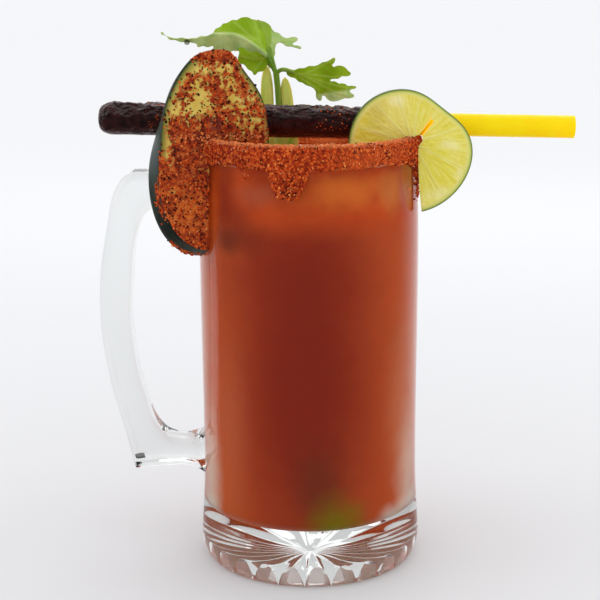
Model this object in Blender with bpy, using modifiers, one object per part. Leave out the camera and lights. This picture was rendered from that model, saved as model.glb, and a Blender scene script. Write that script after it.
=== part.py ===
"""A michelada: a red beer and tomato drink in a tall clear glass mug with a handle.

The rim wears a crust of chili and salt. A bias-cut cucumber slice and a lime wheel straddle it, a
stalk of celery stands in the drink, and a straw with a tamarind coat lies across the top.
Lengths are in metres. The pieces are modelled round the mug's axis, and an empty moves them all so
that the origin is under the middle of the whole drink.
"""

import math
import random

import bmesh
import bpy
from mathutils import Matrix, Vector, noise

MM = 0.001
SEED = 12
GAP = 0.35 * MM  # clearance between pieces that touch
WELD = 0.001 * MM

MUG_HEIGHT = 178.0 * MM
MUG_RADIUS = 45.4 * MM
MUG_WALL = 3.8 * MM
MUG_SIDES = 48
FLOOR_HEIGHT = 20.5 * MM
FOOT_OUTER = 42.8 * MM
FOOT_INNER = 40.8 * MM
FLUTE_COUNT = 24
FLUTE_DEPTH = 7.6 * MM
FLUTE_TURN = math.radians(3.75)  # turns the ridges between the flutes to their place

HANDLE_REACH = 87.3 * MM
HANDLE_BREADTH = 17.0 * MM
HANDLE_ROUNDING = 4.0 * MM

DRINK_LEVEL = 169.0 * MM

CRUST_TOP = 180.0 * MM
CRUST_BOTTOM = 171.5 * MM
CRUST_RADIUS = 46.1 * MM
CRUST_SIDES = 96
CRUST_GRAINS = 34
DRIP_ANGLE = math.radians(-100.6)
DRIP_DROP = 12.0 * MM
DRIP_WIDTH = 6.1 * MM

CUCUMBER_LENGTH = 81.0 * MM
CUCUMBER_WIDTH = 43.6 * MM
CUCUMBER_THICKNESS = 6.5 * MM
CUCUMBER_CENTRE = Vector((-37.5, -17.0, 176.2)) * MM
CUCUMBER_TURN = math.radians(7.0)
CUCUMBER_BIAS = Vector((-4.5, 0.0, -3.6)) * MM  # how far the back face lies from the front one
CUCUMBER_GRAINS = 62

LIME_RADIUS = 25.0 * MM
LIME_THICKNESS = 4.0 * MM
LIME_CENTRE = Vector((40.8, -13.2, 174.4)) * MM

STRAW_RADIUS = 4.6 * MM
STRAW_WALL = 0.4 * MM
STRAW_END = 107.9 * MM
STRAW_START = 19.0 * MM  # it ends a little way inside the coat
STRAW_SLOPE = math.radians(1.41)
STRAW_MIDDLE = Vector((0.0, -4.0, 185.17)) * MM  # the line's point over the mug's axis

COAT_RADIUS = 6.5 * MM
COAT_START = -85.2 * MM
COAT_END = 22.5 * MM

STALK_FOOT = Vector((12.0, -28.0, 24.0)) * MM
STALK_TOP = Vector((-12.6, 14.0, 190.0)) * MM
STALK_WIDTH = 12.4 * MM
STALK_DEPTH = 8.4 * MM
LEAF_NODE = Vector((-13.3, 15.0, 204.5)) * MM
LEAF_THICKNESS = 0.7 * MM

MIDDLE_X = (STRAW_END - HANDLE_REACH) / 2  # middle of the whole drink, from the mug's axis


def material(name, colour, roughness, transmission=0.0):
    made = bpy.data.materials.new(name)
    made.use_nodes = True
    shader = made.node_tree.nodes["Principled BSDF"]
    shader.inputs["Base Color"].default_value = (*colour, 1.0)
    shader.inputs["Roughness"].default_value = roughness
    shader.inputs["Metallic"].default_value = 0.0
    shader.inputs["Transmission Weight"].default_value = transmission
    made.diffuse_color = (*colour, 1.0)
    return made


def add_object(name, mesh, collection):
    made = bpy.data.objects.new(name, mesh)
    collection.objects.link(made)
    return made


def frozen(obj):
    """Puts a mesh in an object's place, with its modifiers and its place applied and its caps welded."""
    graph = bpy.context.evaluated_depsgraph_get()
    mesh = bpy.data.meshes.new_from_object(obj.evaluated_get(graph), depsgraph=graph)
    mesh.transform(obj.matrix_world)
    shape = bmesh.new()
    shape.from_mesh(mesh)
    bmesh.ops.remove_doubles(shape, verts=shape.verts, dist=WELD)
    shape.normal_update()
    bmesh.ops.recalc_face_normals(shape, faces=shape.faces)
    shape.to_mesh(mesh)
    shape.free()
    name, collection = obj.name, obj.users_collection[0]
    bpy.data.objects.remove(obj)
    return add_object(name, mesh, collection)


def drop_scraps(obj):
    """Keeps an object's largest body, so that no loose scrap or sealed hollow is left."""
    shape = bmesh.new()
    shape.from_mesh(obj.data)
    bodies, seen = [], set()
    for start in shape.verts:
        if start in seen:
            continue
        seen.add(start)
        body, edge_of_body = [start], [start]
        while edge_of_body:
            for edge in edge_of_body.pop().link_edges:
                for point in edge.verts:
                    if point not in seen:
                        seen.add(point)
                        body.append(point)
                        edge_of_body.append(point)
        bodies.append(body)
    bodies.sort(key=len)
    scraps = [point for body in bodies[:-1] for point in body]
    bmesh.ops.delete(shape, geom=scraps, context="VERTS")
    shape.to_mesh(obj.data)
    shape.free()


def combined(obj, others, operation, solver="EXACT"):
    """Joins others to an object, or cuts it with them, and applies the result."""
    group = bpy.data.collections.new("joined")
    bpy.context.scene.collection.children.link(group)
    for other in others:
        other.users_collection[0].objects.unlink(other)
        group.objects.link(other)
    boolean = obj.modifiers.new(operation.title(), "BOOLEAN")
    boolean.operand_type = "COLLECTION"
    boolean.collection = group
    boolean.operation = operation
    boolean.solver = solver
    result = frozen(obj)
    for other in list(group.objects):
        bpy.data.objects.remove(other)
    bpy.data.collections.remove(group)
    drop_scraps(result)
    return result


def turned(name, profile, sides, collection, closed=False):
    """Turns a profile of (radius, height) points, in millimetres, round the Z axis."""
    mesh = bpy.data.meshes.new(name)
    edges = [(i, i + 1) for i in range(len(profile) - 1)]
    if closed:
        edges.append((len(profile) - 1, 0))
    mesh.from_pydata([(r * MM, 0.0, z * MM) for r, z in profile], edges, [])
    obj = add_object(name, mesh, collection)
    screw = obj.modifiers.new("Turn", "SCREW")
    screw.steps = screw.render_steps = sides
    screw.use_merge_vertices = True
    screw.merge_threshold = WELD
    obj.rotation_euler.z = FLUTE_TURN
    bpy.context.view_layer.update()
    return frozen(obj)


def reshape(obj, rule):
    """Moves every point of an object's mesh to where a rule puts it."""
    for point in obj.data.vertices:
        point.co = rule(point.co.copy())
    obj.data.update()


def inner_profile():
    """The mug's inside, from the middle of its floor up the wall, in millimetres."""
    floor = FLOOR_HEIGHT / MM
    bowl = [(0.0, floor), (20.0, floor + 0.2), (33.0, floor + 1.3), (38.4, floor + 3.8), (40.8, floor + 8.5)]
    inside = (MUG_RADIUS - MUG_WALL) / MM
    return bowl + [(inside - 0.3, 44.0), (inside, 110.0), (inside, 140.0), (inside - 0.4, 165.0)]


def mug_profile():
    """The whole mug: its inside, the lip, the outside, the foot ring and the hollow underside."""
    top = MUG_HEIGHT / MM
    radius = MUG_RADIUS / MM
    lip = [(41.2, top - 1.8), (41.9, top - 0.5), (42.9, top), (43.9, top - 0.5), (44.6, top - 1.8)]
    outside = [(radius - 0.6, 165.0), (radius, 140.0), (radius, 110.0), (radius - 0.3, 44.0)]
    bulge = [(radius + 0.6, 22.0), (radius + 1.3, 12.0), (radius + 1.2, 7.0), (radius + 0.1, 3.4), (44.2, 1.0)]
    foot = [(FOOT_OUTER / MM, 0.0), (FOOT_INNER / MM, 0.0)]
    underside = [(39.4, 0.8), (30.0, 1.6), (18.0, 2.6), (8.0, 3.3), (0.0, 3.6)]
    return inner_profile() + lip + outside + bulge + foot + underside


def fluted(point):
    """Lifts every other spoke of the underside, which leaves a star of flutes between sharp ridges."""
    radius = math.hypot(point.x, point.y)
    if point.z > 0.01 or radius > FOOT_INNER - 0.1 * MM:
        return point
    turn = (math.atan2(point.y, point.x) - FLUTE_TURN) / math.tau * FLUTE_COUNT
    if abs(turn - round(turn)) < 0.25:
        point.z += FLUTE_DEPTH * (radius / FOOT_INNER) ** 1.2
    return point


def flat_outline(name, points, thickness, rounding, collection):
    """A closed outline in the XZ plane with round edges. A point is (x, z, corner or not) in millimetres."""
    curve = bpy.data.curves.new(name, "CURVE")
    curve.dimensions = "2D"
    curve.fill_mode = "BOTH"
    curve.extrude = thickness / 2
    curve.resolution_u = 3
    spline = curve.splines.new("BEZIER")
    spline.bezier_points.add(len(points) - 1)
    for (x, z, corner), knot in zip(points, spline.bezier_points):
        knot.co = (x * MM, z * MM, 0.0)
        knot.handle_left_type = knot.handle_right_type = "VECTOR" if corner else "AUTO"
    spline.use_cyclic_u = True
    obj = add_object(name, curve, collection)
    obj.rotation_euler.x = math.pi / 2
    bpy.context.view_layer.update()
    obj = frozen(obj)
    shape = bmesh.new()
    shape.from_mesh(obj.data)
    rims = [
        edge for edge in shape.edges
        if len(edge.link_faces) == 2 and sum(abs(face.normal.y) > 0.9 for face in edge.link_faces) == 1
    ]
    bmesh.ops.bevel(shape, geom=rims, offset=rounding, segments=2, profile=0.5, affect="EDGES")
    shape.to_mesh(obj.data)
    shape.free()
    return obj


def handle_piece(collection):
    """The handle as seen from the side: a long bow with a foot that runs back to the wall."""
    root = -(MUG_RADIUS - 0.45 * MUG_WALL) / MM
    reach = -HANDLE_REACH / MM
    outer = [
        (root, 165.5, True), (-72.0, 165.5, True), (-77.0, 162.0, False), (-83.9, 139.4, False),
        (reach, 109.6, False), (-84.4, 79.3, False), (-77.6, 52.2, False), (-74.4, 38.4, True),
    ]
    inner = [
        (-60.0, 39.6, False), (-50.5, 39.3, False), (root, 35.5, True), (root, 51.9, True),
        (-50.5, 51.9, False), (-57.0, 52.2, False), (-62.6, 55.0, False), (-69.8, 72.8, False),
        (-74.0, 97.8, False), (-73.8, 115.9, False), (-70.1, 142.0, False), (-66.5, 148.6, False),
        (-60.0, 150.6, False), (-50.5, 150.8, False), (root, 150.8, True),
    ]
    return flat_outline("handle", outer + inner, HANDLE_BREADTH, HANDLE_ROUNDING, collection)


def build_mug(collection):
    mug = turned("mug", mug_profile(), MUG_SIDES, collection)
    reshape(mug, fluted)
    return combined(mug, [handle_piece(collection)], "UNION", "MANIFOLD")


def crust_drop(angle):
    """How far the crust's lower edge hangs below its usual height at an angle round the rim."""
    wave = 1.2 * MM * noise.noise(Vector((3.0 * math.cos(angle), 3.0 * math.sin(angle), 5.0)))
    away = (angle - DRIP_ANGLE + math.pi) % math.tau - math.pi
    drip = DRIP_DROP * math.exp(-(abs(away * CRUST_RADIUS / DRIP_WIDTH) ** 5))
    shoulder = 1.6 * MM * math.exp(-((away * CRUST_RADIUS / (3.2 * DRIP_WIDTH)) ** 2))
    return wave + drip + shoulder


def crust_dent(angle):
    """How far the straw and its coat have pressed into the crust's top."""
    dent = 0.0
    for side, depth in ((0.0, 1.25 * MM), (math.pi, 1.05 * MM)):
        middle = math.atan2(STRAW_MIDDLE.y, math.cos(side) * CRUST_RADIUS)
        away = (angle - middle + math.pi) % math.tau - math.pi
        dent += depth * math.exp(-((away * CRUST_RADIUS / (4.2 * MM)) ** 2))
    return dent


def crusted(point):
    """Makes the turned band uneven: a hanging lower edge, dents on top and a grainy outer skin."""
    radius = math.hypot(point.x, point.y)
    angle = math.atan2(point.y, point.x)
    if radius > 44.8 * MM:
        share = max(0.0, (CRUST_TOP - point.z) / (CRUST_TOP - CRUST_BOTTOM))
        point.z -= crust_drop(angle) * min(1.0, share) ** 2
    if point.z > MUG_HEIGHT + 1.2 * MM:
        point.z -= crust_dent(angle)
    on_skin = radius > 45.35 * MM or radius < 40.7 * MM or point.z > MUG_HEIGHT + 0.6 * MM
    rough = 0.45 * MM * noise.noise(point * 420.0) if on_skin else 0.0
    outward = 1.0 if radius > 43.0 * MM else -1.0
    scale = 1.0 + outward * rough / radius
    return Vector((point.x * scale, point.y * scale, point.z - abs(rough) * 0.5))


def grain(size, place, draw, collection):
    """One crumb of chili: a small uneven ball."""
    mesh = bpy.data.meshes.new("grain")
    shape = bmesh.new()
    turn = Matrix.Rotation(draw.uniform(0, math.tau), 4, Vector((draw.random(), draw.random(), 1.0)))
    squash = Matrix.Diagonal((1.0, draw.uniform(0.7, 1.0), draw.uniform(0.6, 0.9), 1.0))
    bmesh.ops.create_icosphere(shape, subdivisions=1, radius=size, matrix=Matrix.Translation(place) @ turn @ squash)
    shape.to_mesh(mesh)
    shape.free()
    return add_object("grain", mesh, collection)


def near_garnish(angle):
    """True where a slice, the straw or its coat crosses the rim, so that no grain stands in their way."""
    crossings = (
        math.atan2(LIME_CENTRE.y, LIME_CENTRE.x),
        math.atan2(CUCUMBER_CENTRE.y, -40.0 * MM),
        math.atan2(STRAW_MIDDLE.y, CRUST_RADIUS),
        math.atan2(STRAW_MIDDLE.y, -CRUST_RADIUS),
    )
    return any(abs((angle - crossing + math.pi) % math.tau - math.pi) < 0.22 for crossing in crossings)


def build_crust(collection):
    top, bottom = CRUST_TOP / MM, CRUST_BOTTOM / MM
    outer = CRUST_RADIUS / MM
    profile = [
        (45.3, bottom), (outer, bottom - 0.3), (outer, top - 5.6), (outer, top - 3.2), (outer - 0.7, top - 0.8),
        (43.2, top), (41.1, top - 0.6), (40.2, top - 2.5), (40.0, top - 5.2), (40.4, top - 6.8),
        (40.85, top - 5.6), (40.85, top - 2.7), (43.0, top - 1.5), (45.2, top - 2.7),
    ]
    crust = turned("chili_rim", profile[::-1], CRUST_SIDES, collection, closed=True)
    reshape(crust, crusted)
    draw = random.Random(SEED)
    grains = []
    while len(grains) < CRUST_GRAINS:
        angle = draw.uniform(-math.pi, math.pi)
        size = draw.uniform(0.55, 0.85) * MM
        rise = draw.uniform(0.15, 0.95)
        if near_garnish(angle):
            continue
        low = CRUST_BOTTOM - crust_drop(angle) + 0.6 * MM
        height = low + rise * (CRUST_TOP - 2.8 * MM - low)
        seat = CRUST_RADIUS - 0.3 * size
        place = Vector((seat * math.cos(angle), seat * math.sin(angle), height))
        grains.append(grain(size, place, draw, collection))
    return combined(crust, grains, "UNION", "MANIFOLD")


def rim_cutter(collection):
    """The ring of glass and crust that the slices straddle, with room round it."""
    top = (CRUST_TOP + GAP) / MM
    profile = [
        (39.3, top), (46.95, top), (46.95, 168.5), (45.85, 167.8), (45.85, 100.0), (41.1, 100.0), (41.1, 166.0),
        (39.3, 167.0),
    ]
    return turned("rim_cutter", profile, MUG_SIDES * 2, collection, closed=True)


def slab(name, sides, rule, collection):
    """A slice from a cylinder: the rule puts each rim point, given its angle and whether it is in front."""
    mesh = bpy.data.meshes.new(name)
    shape = bmesh.new()
    bmesh.ops.create_cone(shape, cap_ends=True, segments=sides, radius1=1.0, radius2=1.0, depth=2.0)
    for point in shape.verts:
        point.co = rule(math.atan2(point.co.y, point.co.x), point.co.z < 0.0)
    shape.normal_update()
    bmesh.ops.recalc_face_normals(shape, faces=shape.faces)
    bmesh.ops.triangulate(shape, faces=shape.faces)
    shape.to_mesh(mesh)
    shape.free()
    return add_object(name, mesh, collection)


def eased(share):
    """A smooth rise from 0 to 1."""
    share = max(0.0, min(1.0, share))
    return share * share * (3.0 - 2.0 * share)


def cucumber_point(angle, front, grow=0.0):
    """Outline of the bias-cut slice: an ellipse with a narrower, blunt upper end that leans inwards."""
    across = math.cos(angle) * (CUCUMBER_WIDTH / 2 + grow)
    up = math.sin(angle) * (CUCUMBER_LENGTH / 2 + grow)
    share = up / (CUCUMBER_LENGTH / 2)
    across *= 1.0 - 0.10 * share
    across += share * 3.0 * MM
    side = max(-1.0, min(1.0, math.cos(angle) / 0.35))
    if side > 0.0:
        across -= side * 3.0 * MM * math.exp(-(((share - 0.8) / 0.2) ** 2))
    elif front:
        across += side * 2.1 * MM * eased((share + 0.1) / 0.6)
    else:
        across += side * 2.0 * MM * eased((share - 0.85) / 0.15)
        across -= side * 1.8 * MM * math.exp(-(((share - 0.36) / 0.3) ** 2))
    up -= 1.2 * MM * max(0.0, share) ** 12
    depth = CUCUMBER_THICKNESS / 2 + grow
    local = Vector((across, -depth if front else depth, up))
    if not front:
        local += CUCUMBER_BIAS
    return CUCUMBER_CENTRE + Matrix.Rotation(CUCUMBER_TURN, 3, "Z") @ local


def cucumber_grains(collection):
    """Chili stuck on the slice's face, thickest over its lower half, clear of its edge and of the rim."""
    draw = random.Random(SEED + 1)
    grains = []
    while len(grains) < CUCUMBER_GRAINS:
        angle, reach = draw.uniform(0, math.tau), math.sqrt(draw.random()) * 0.9
        size = draw.uniform(0.6, 0.95) * MM
        edge = cucumber_point(angle, True)
        middle = cucumber_point(0.0, True).lerp(cucumber_point(math.pi, True), 0.5)
        place = middle.lerp(edge, reach)
        height = (place.z - CUCUMBER_CENTRE.z) / (CUCUMBER_LENGTH / 2)
        if draw.random() < 0.25 + 0.55 * height:
            continue
        if 39.3 * MM - 1.5 * MM < math.hypot(place.x, place.y) < 48.5 * MM and place.z < CRUST_TOP + 2 * MM:
            continue
        if math.hypot(place.x, place.y) < 42.0 * MM and place.z < CRUST_TOP:
            continue
        grains.append(grain(size, place, draw, collection))
    return grains


def build_cucumber(collection):
    cucumber = slab("cucumber_slice", 44, cucumber_point, collection)
    cucumber = combined(cucumber, [rim_cutter(collection)], "DIFFERENCE")
    return combined(cucumber, cucumber_grains(collection), "UNION", "MANIFOLD")


def lime_point(angle, front, grow=0.0):
    """Outline of the wheel: nearly round, a little flatter at its upper right and fuller at its upper left."""
    flat = 3.8 * MM * math.exp(-(((angle - math.radians(50.0)) / 0.56) ** 2))
    full = 0.9 * MM * math.exp(-(((angle - math.radians(135.0)) / 0.55) ** 2))
    radius = LIME_RADIUS + grow - flat + full + 0.25 * MM * math.sin(3.0 * angle + 0.6)
    depth = LIME_THICKNESS / 2 + grow
    return LIME_CENTRE + Vector((radius * math.cos(angle), -depth if front else depth, radius * math.sin(angle)))


def slot_cutter(collection):
    """The end of the lime's slit, which leans out past the rim."""
    mesh = bpy.data.meshes.new("slot")
    shape = bmesh.new()
    place = Matrix.Translation(Vector((45.4, -13.2, 181.5)) * MM) @ Matrix.Rotation(math.radians(-45.0), 4, "Y")
    size = Matrix.Diagonal((11.0 * MM, 12.0 * MM, 1.5 * MM, 1.0))
    bmesh.ops.create_cube(shape, size=1.0, matrix=place @ size)
    shape.to_mesh(mesh)
    shape.free()
    return add_object("slot", mesh, collection)


def build_lime(collection):
    lime = slab("lime_wheel", 56, lime_point, collection)
    return combined(lime, [rim_cutter(collection), slot_cutter(collection)], "DIFFERENCE")


def along_straw(obj):
    """Lays a piece that was turned round Z along the straw's line, with its foot end to the left."""
    lay = Matrix.Rotation(math.pi / 2 + STRAW_SLOPE, 4, "Y")
    obj.data.transform(Matrix.Translation(STRAW_MIDDLE) @ lay)
    return obj


def build_straw(collection):
    inner, outer = (STRAW_RADIUS - STRAW_WALL) / MM, STRAW_RADIUS / MM
    start, end = STRAW_START / MM, STRAW_END / MM
    profile = [(outer, end), (outer, start), (inner, start), (inner, end)]
    return along_straw(turned("straw", profile, 16, collection, closed=True))


def coated(point):
    """Wrinkles the coat: deeply along its top, hardly where it lies on the crust."""
    radius = math.hypot(point.x, point.y)
    if radius < 0.1 * MM:
        return point
    above = 0.5 - 0.5 * point.x / radius
    rough = noise.noise(Vector((point.x, point.y, point.z * 0.6)) * 330.0)
    change = (0.12 + 0.75 * above) * MM * rough
    return Vector((point.x * (1 + change / radius), point.y * (1 + change / radius), point.z))


def build_coat(collection):
    start, end = COAT_START / MM, COAT_END / MM
    radius = COAT_RADIUS / MM
    rings = 24
    profile = [(0.0, end), (radius - 1.4, end), (radius - 0.3, end - 1.0)]
    span = end - 3.0 - (start + 5.0)
    profile += [(radius, end - 3.0 - span * i / rings) for i in range(rings + 1)]
    profile += [(radius - 0.9, start + 2.2), (radius - 2.6, start + 0.6), (0.0, start)]
    coat = turned("tamarind_coat", profile, 18, collection)
    reshape(coat, coated)
    bore, bottom = (STRAW_RADIUS + GAP) / MM, (STRAW_START - GAP) / MM
    socket = turned("socket", [(0, end + 5), (bore, end + 5), (bore, bottom), (0, bottom)], 32, collection)
    return along_straw(combined(coat, [socket], "DIFFERENCE"))


def stalk_section(share, grow=0.0):
    """The ribbed stalk's section, hollow towards the front, at a share of its way up."""
    middle = STALK_FOOT.lerp(STALK_TOP, share)
    half, deep = STALK_WIDTH / 2 + grow, STALK_DEPTH / 2 + grow
    wall = 2.4 * MM + 2 * grow
    outer = [Vector((half * math.cos(a), deep * math.sin(a), 0)) for a in (math.pi * i / 8 for i in range(9))]
    inner = [
        Vector(((half - wall) * math.cos(a), (deep - wall) * math.sin(a) - grow, 0))
        for a in (math.pi * (5 - i) / 5 for i in range(6))
    ]
    return [middle + offset for offset in outer + inner]


def stalk_piece(name, collection, grow=0.0, top=1.0):
    """The stalk, lofted between sections that stay level."""
    mesh = bpy.data.meshes.new(name)
    shape = bmesh.new()
    start = -grow / (STALK_TOP.z - STALK_FOOT.z)
    rows = [[shape.verts.new(p) for p in stalk_section(start + (top - start) * i / 4, grow)] for i in range(5)]
    count = len(rows[0])
    for low, high in zip(rows, rows[1:]):
        for i in range(count):
            shape.faces.new((low[i], low[(i + 1) % count], high[(i + 1) % count], high[i]))
    caps = [shape.faces.new(rows[0][::-1]), shape.faces.new(rows[-1])]
    bmesh.ops.triangulate(shape, faces=caps)
    shape.normal_update()
    bmesh.ops.recalc_face_normals(shape, faces=shape.faces)
    shape.to_mesh(mesh)
    shape.free()
    return add_object(name, mesh, collection)


def flange(foot, tip, size, collection):
    """A torn end of the stalk's rib that runs up to a point."""
    mesh = bpy.data.meshes.new("flange")
    shape = bmesh.new()
    bmesh.ops.create_cone(shape, cap_ends=True, segments=8, radius1=size, radius2=0.35 * MM, depth=1.0)
    span = tip - foot
    for point in shape.verts:
        middle = foot + span * (point.co.z + 0.5)
        point.co = middle + Vector((point.co.x, point.co.y * 0.55, 0.0))
    shape.to_mesh(mesh)
    shape.free()
    return add_object("flange", mesh, collection)


def stem(points, radius, collection):
    """A thin green leaf stem through its points."""
    curve = bpy.data.curves.new("stem", "CURVE")
    curve.dimensions = "3D"
    curve.bevel_depth = radius
    curve.bevel_resolution = 2
    curve.resolution_u = 3
    curve.use_fill_caps = True
    spline = curve.splines.new("BEZIER")
    spline.bezier_points.add(len(points) - 1)
    for point, knot in zip(points, spline.bezier_points):
        knot.co = point
        knot.handle_left_type = knot.handle_right_type = "AUTO"
    obj = add_object("stem", curve, collection)
    bpy.context.view_layer.update()
    return frozen(obj)


def leaf(name, outline, depth_rule, collection):
    """A lobed blade: an outline of (x, z) from the leaf node, in millimetres, bent by a depth rule."""
    mesh = bpy.data.meshes.new(name)
    shape = bmesh.new()
    shape.faces.new([shape.verts.new((x, 0.0, z)) for x, z in outline])
    for axis in (Vector((1, 0, 0)), Vector((0, 0, 1))):
        for step in range(-10, 8):
            parts = shape.verts[:] + shape.edges[:] + shape.faces[:]
            bmesh.ops.bisect_plane(shape, geom=parts, dist=1e-4, plane_co=axis * 6.0 * step, plane_no=axis)
    bmesh.ops.triangulate(shape, faces=shape.faces)
    for point in shape.verts:
        x, z = point.co.x, point.co.z
        point.co = LEAF_NODE + Vector((x, depth_rule(x, z), z)) * MM
    bmesh.ops.remove_doubles(shape, verts=shape.verts, dist=0.05 * MM)
    shape.to_mesh(mesh)
    shape.free()
    obj = add_object(name, mesh, collection)
    solid = obj.modifiers.new("Thickness", "SOLIDIFY")
    solid.thickness = LEAF_THICKNESS
    solid.offset = 0.0
    return frozen(obj)


def arch_depth(x, z):
    """The big leaf folds along a line nearest the viewer, and rises and hangs away from it."""
    fold = 7.0 + 8.5 * math.sin(min(1.0, (-4.0 - x) / 16.0) * math.pi / 2) if x < -4.0 else 7.0
    away = z - fold
    near = -1.0 - 7.0 * math.sin(min(1.0, max(0.0, -x / 30.0)) * math.pi / 2)
    return near + (1.0 * away if away > 0 else -0.6 * away) + 0.5 * math.sin(x * 0.7)


def celery_leaves(collection):
    arch = [
        (-3.4, 7.0), (-4.5, 14.7), (-8.1, 20.5), (-11.6, 21.9), (-14.4, 21.7), (-21.4, 19.5), (-27.0, 15.2),
        (-34.1, 13.9), (-42.5, 14.4), (-46.0, 16.0), (-43.3, 12.9), (-36.9, 12.2), (-32.3, 11.5), (-32.0, 10.5),
        (-25.6, 10.5), (-28.5, 7.3), (-23.5, 7.7), (-15.8, 8.6), (-11.6, 8.6), (-7.4, 7.3), (-3.6, 6.0),
    ]
    lobe = [
        (-3.6, 7.2), (-10.0, 9.6), (-15.1, 9.6), (-15.4, 3.9), (-13.0, 2.8), (-11.6, 1.1), (-8.8, -1.4),
        (-7.4, -0.3), (-4.9, 0.4), (-2.6, 3.5),
    ]
    fold = [
        (-8.1, 20.5), (-3.8, 19.5), (-0.3, 15.7), (4.6, 13.2), (8.4, 13.5), (9.2, 12.9), (7.1, 10.8),
        (10.6, 9.3), (6.2, 10.0), (1.0, 11.5), (-0.3, 9.1), (-0.7, 3.5), (-1.7, 1.1), (-3.8, 2.8), (-4.8, 10.7),
    ]
    right = [
        (4.6, 0.2), (11.6, 1.2), (17.9, 2.5), (22.9, 4.5), (24.6, 5.1), (23.6, 1.8), (28.2, 1.6), (31.2, -1.7),
        (22.7, -4.2), (33.6, -7.3), (30.8, -8.6), (32.7, -10.9), (27.0, -12.3), (22.9, -12.8), (19.7, -10.4),
        (18.5, -12.6), (16.9, -11.4), (16.6, -8.6), (15.1, -6.9), (10.9, -4.8), (4.6, -1.4),
    ]
    return [
        leaf("arch", arch, arch_depth, collection),
        leaf("lobe", lobe, lambda x, z: -0.5 + 0.25 * (x + 3.0) + 0.6 * math.sin(z * 0.6), collection),
        leaf("fold", fold, lambda x, z: 0.55 * max(0.0, z - 3.0) + 0.5 * math.sin(z * 0.5), collection),
        leaf("right", right, lambda x, z: -0.5 + 0.2 * (x - 5.0) + 1.1 * math.sin(x * 0.4), collection),
    ]


def build_celery(collection):
    celery = stalk_piece("celery", collection)
    node, top = LEAF_NODE, STALK_TOP
    joined = [
        flange(top + Vector((-4.4, 1.6, -5)) * MM, Vector((-17.8, 16.5, 206.4)) * MM, 2.6 * MM, collection),
        flange(top + Vector((4.4, 1.6, -5)) * MM, Vector((-9.4, 16.5, 200.8)) * MM, 2.6 * MM, collection),
        stem([top + Vector((0.4, 2.4, -9)) * MM, top + Vector((0.2, 1.8, 4)) * MM, node], 1.3 * MM, collection),
        stem([node - Vector((0, 0, 1)) * MM, node + Vector((-2.2, -0.3, 3.6)) * MM,
              node + Vector((-4.4, -0.6, 8.6)) * MM], 0.9 * MM, collection),
        stem([node - Vector((0, 0, 1)) * MM, node + Vector((-1.2, 0.4, 3.6)) * MM,
              node + Vector((-2.6, 3.6, 9.6)) * MM], 0.9 * MM, collection),
        stem([node - Vector((0, 0, 1)) * MM, node + Vector((2.4, -0.4, 0.6)) * MM,
              node + Vector((7.6, -0.1, -0.6)) * MM], 0.9 * MM, collection),
    ]
    return combined(celery, joined + celery_leaves(collection), "UNION", "MANIFOLD")


def build_drink(collection):
    """The liquid fills the mug up to its level, cut round the three garnishes that stand in it."""
    wall = [(max(0.0, r - GAP / MM), z) for r, z in inner_profile()]
    wall = [(r, z + GAP / MM if z < 40.0 else z) for r, z in wall]
    level = DRINK_LEVEL / MM
    surface = [(0.0, level), (37.5, level), (39.6, level + 0.2), (40.7, level + 0.9)]
    drink = turned("drink", surface + wall[::-1], MUG_SIDES, collection)
    cutters = [
        slab("lime_room", 56, lambda angle, front: lime_point(angle, front, GAP), collection),
        slab("cucumber_room", 44, lambda angle, front: cucumber_point(angle, front, GAP), collection),
        stalk_piece("stalk_room", collection, GAP),
    ]
    return combined(drink, cutters, "DIFFERENCE")


def main():
    for obj in list(bpy.data.objects):
        bpy.data.objects.remove(obj)
    collection = bpy.data.collections.new("michelada")
    bpy.context.scene.collection.children.link(collection)
    middle = bpy.data.objects.new("michelada_middle", None)
    collection.objects.link(middle)
    middle.location.x = -MIDDLE_X
    finishes = {
        build_mug: material("clear glass", (0.95, 0.97, 0.97), 0.03, 1.0),
        build_drink: material("red drink", (0.50, 0.09, 0.03), 0.1),
        build_crust: material("chili crust", (0.55, 0.11, 0.03), 0.8),
        build_cucumber: material("cucumber flesh", (0.62, 0.64, 0.30), 0.45),
        build_lime: material("lime flesh", (0.72, 0.76, 0.25), 0.3),
        build_straw: material("yellow plastic", (0.95, 0.62, 0.02), 0.3),
        build_coat: material("tamarind paste", (0.05, 0.015, 0.015), 0.25),
        build_celery: material("celery green", (0.25, 0.45, 0.08), 0.5),
    }
    for build, finish in finishes.items():
        piece = build(collection)
        piece.parent = middle
        piece.data.materials.clear()
        piece.data.materials.append(finish)
        piece.data.shade_smooth()
        piece.data.set_sharp_from_angle(angle=math.radians(35.0))
    bpy.context.view_layer.update()


main()
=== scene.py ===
import bisect
import math
import random

import bpy
from mathutils import Matrix, Vector, noise


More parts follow.
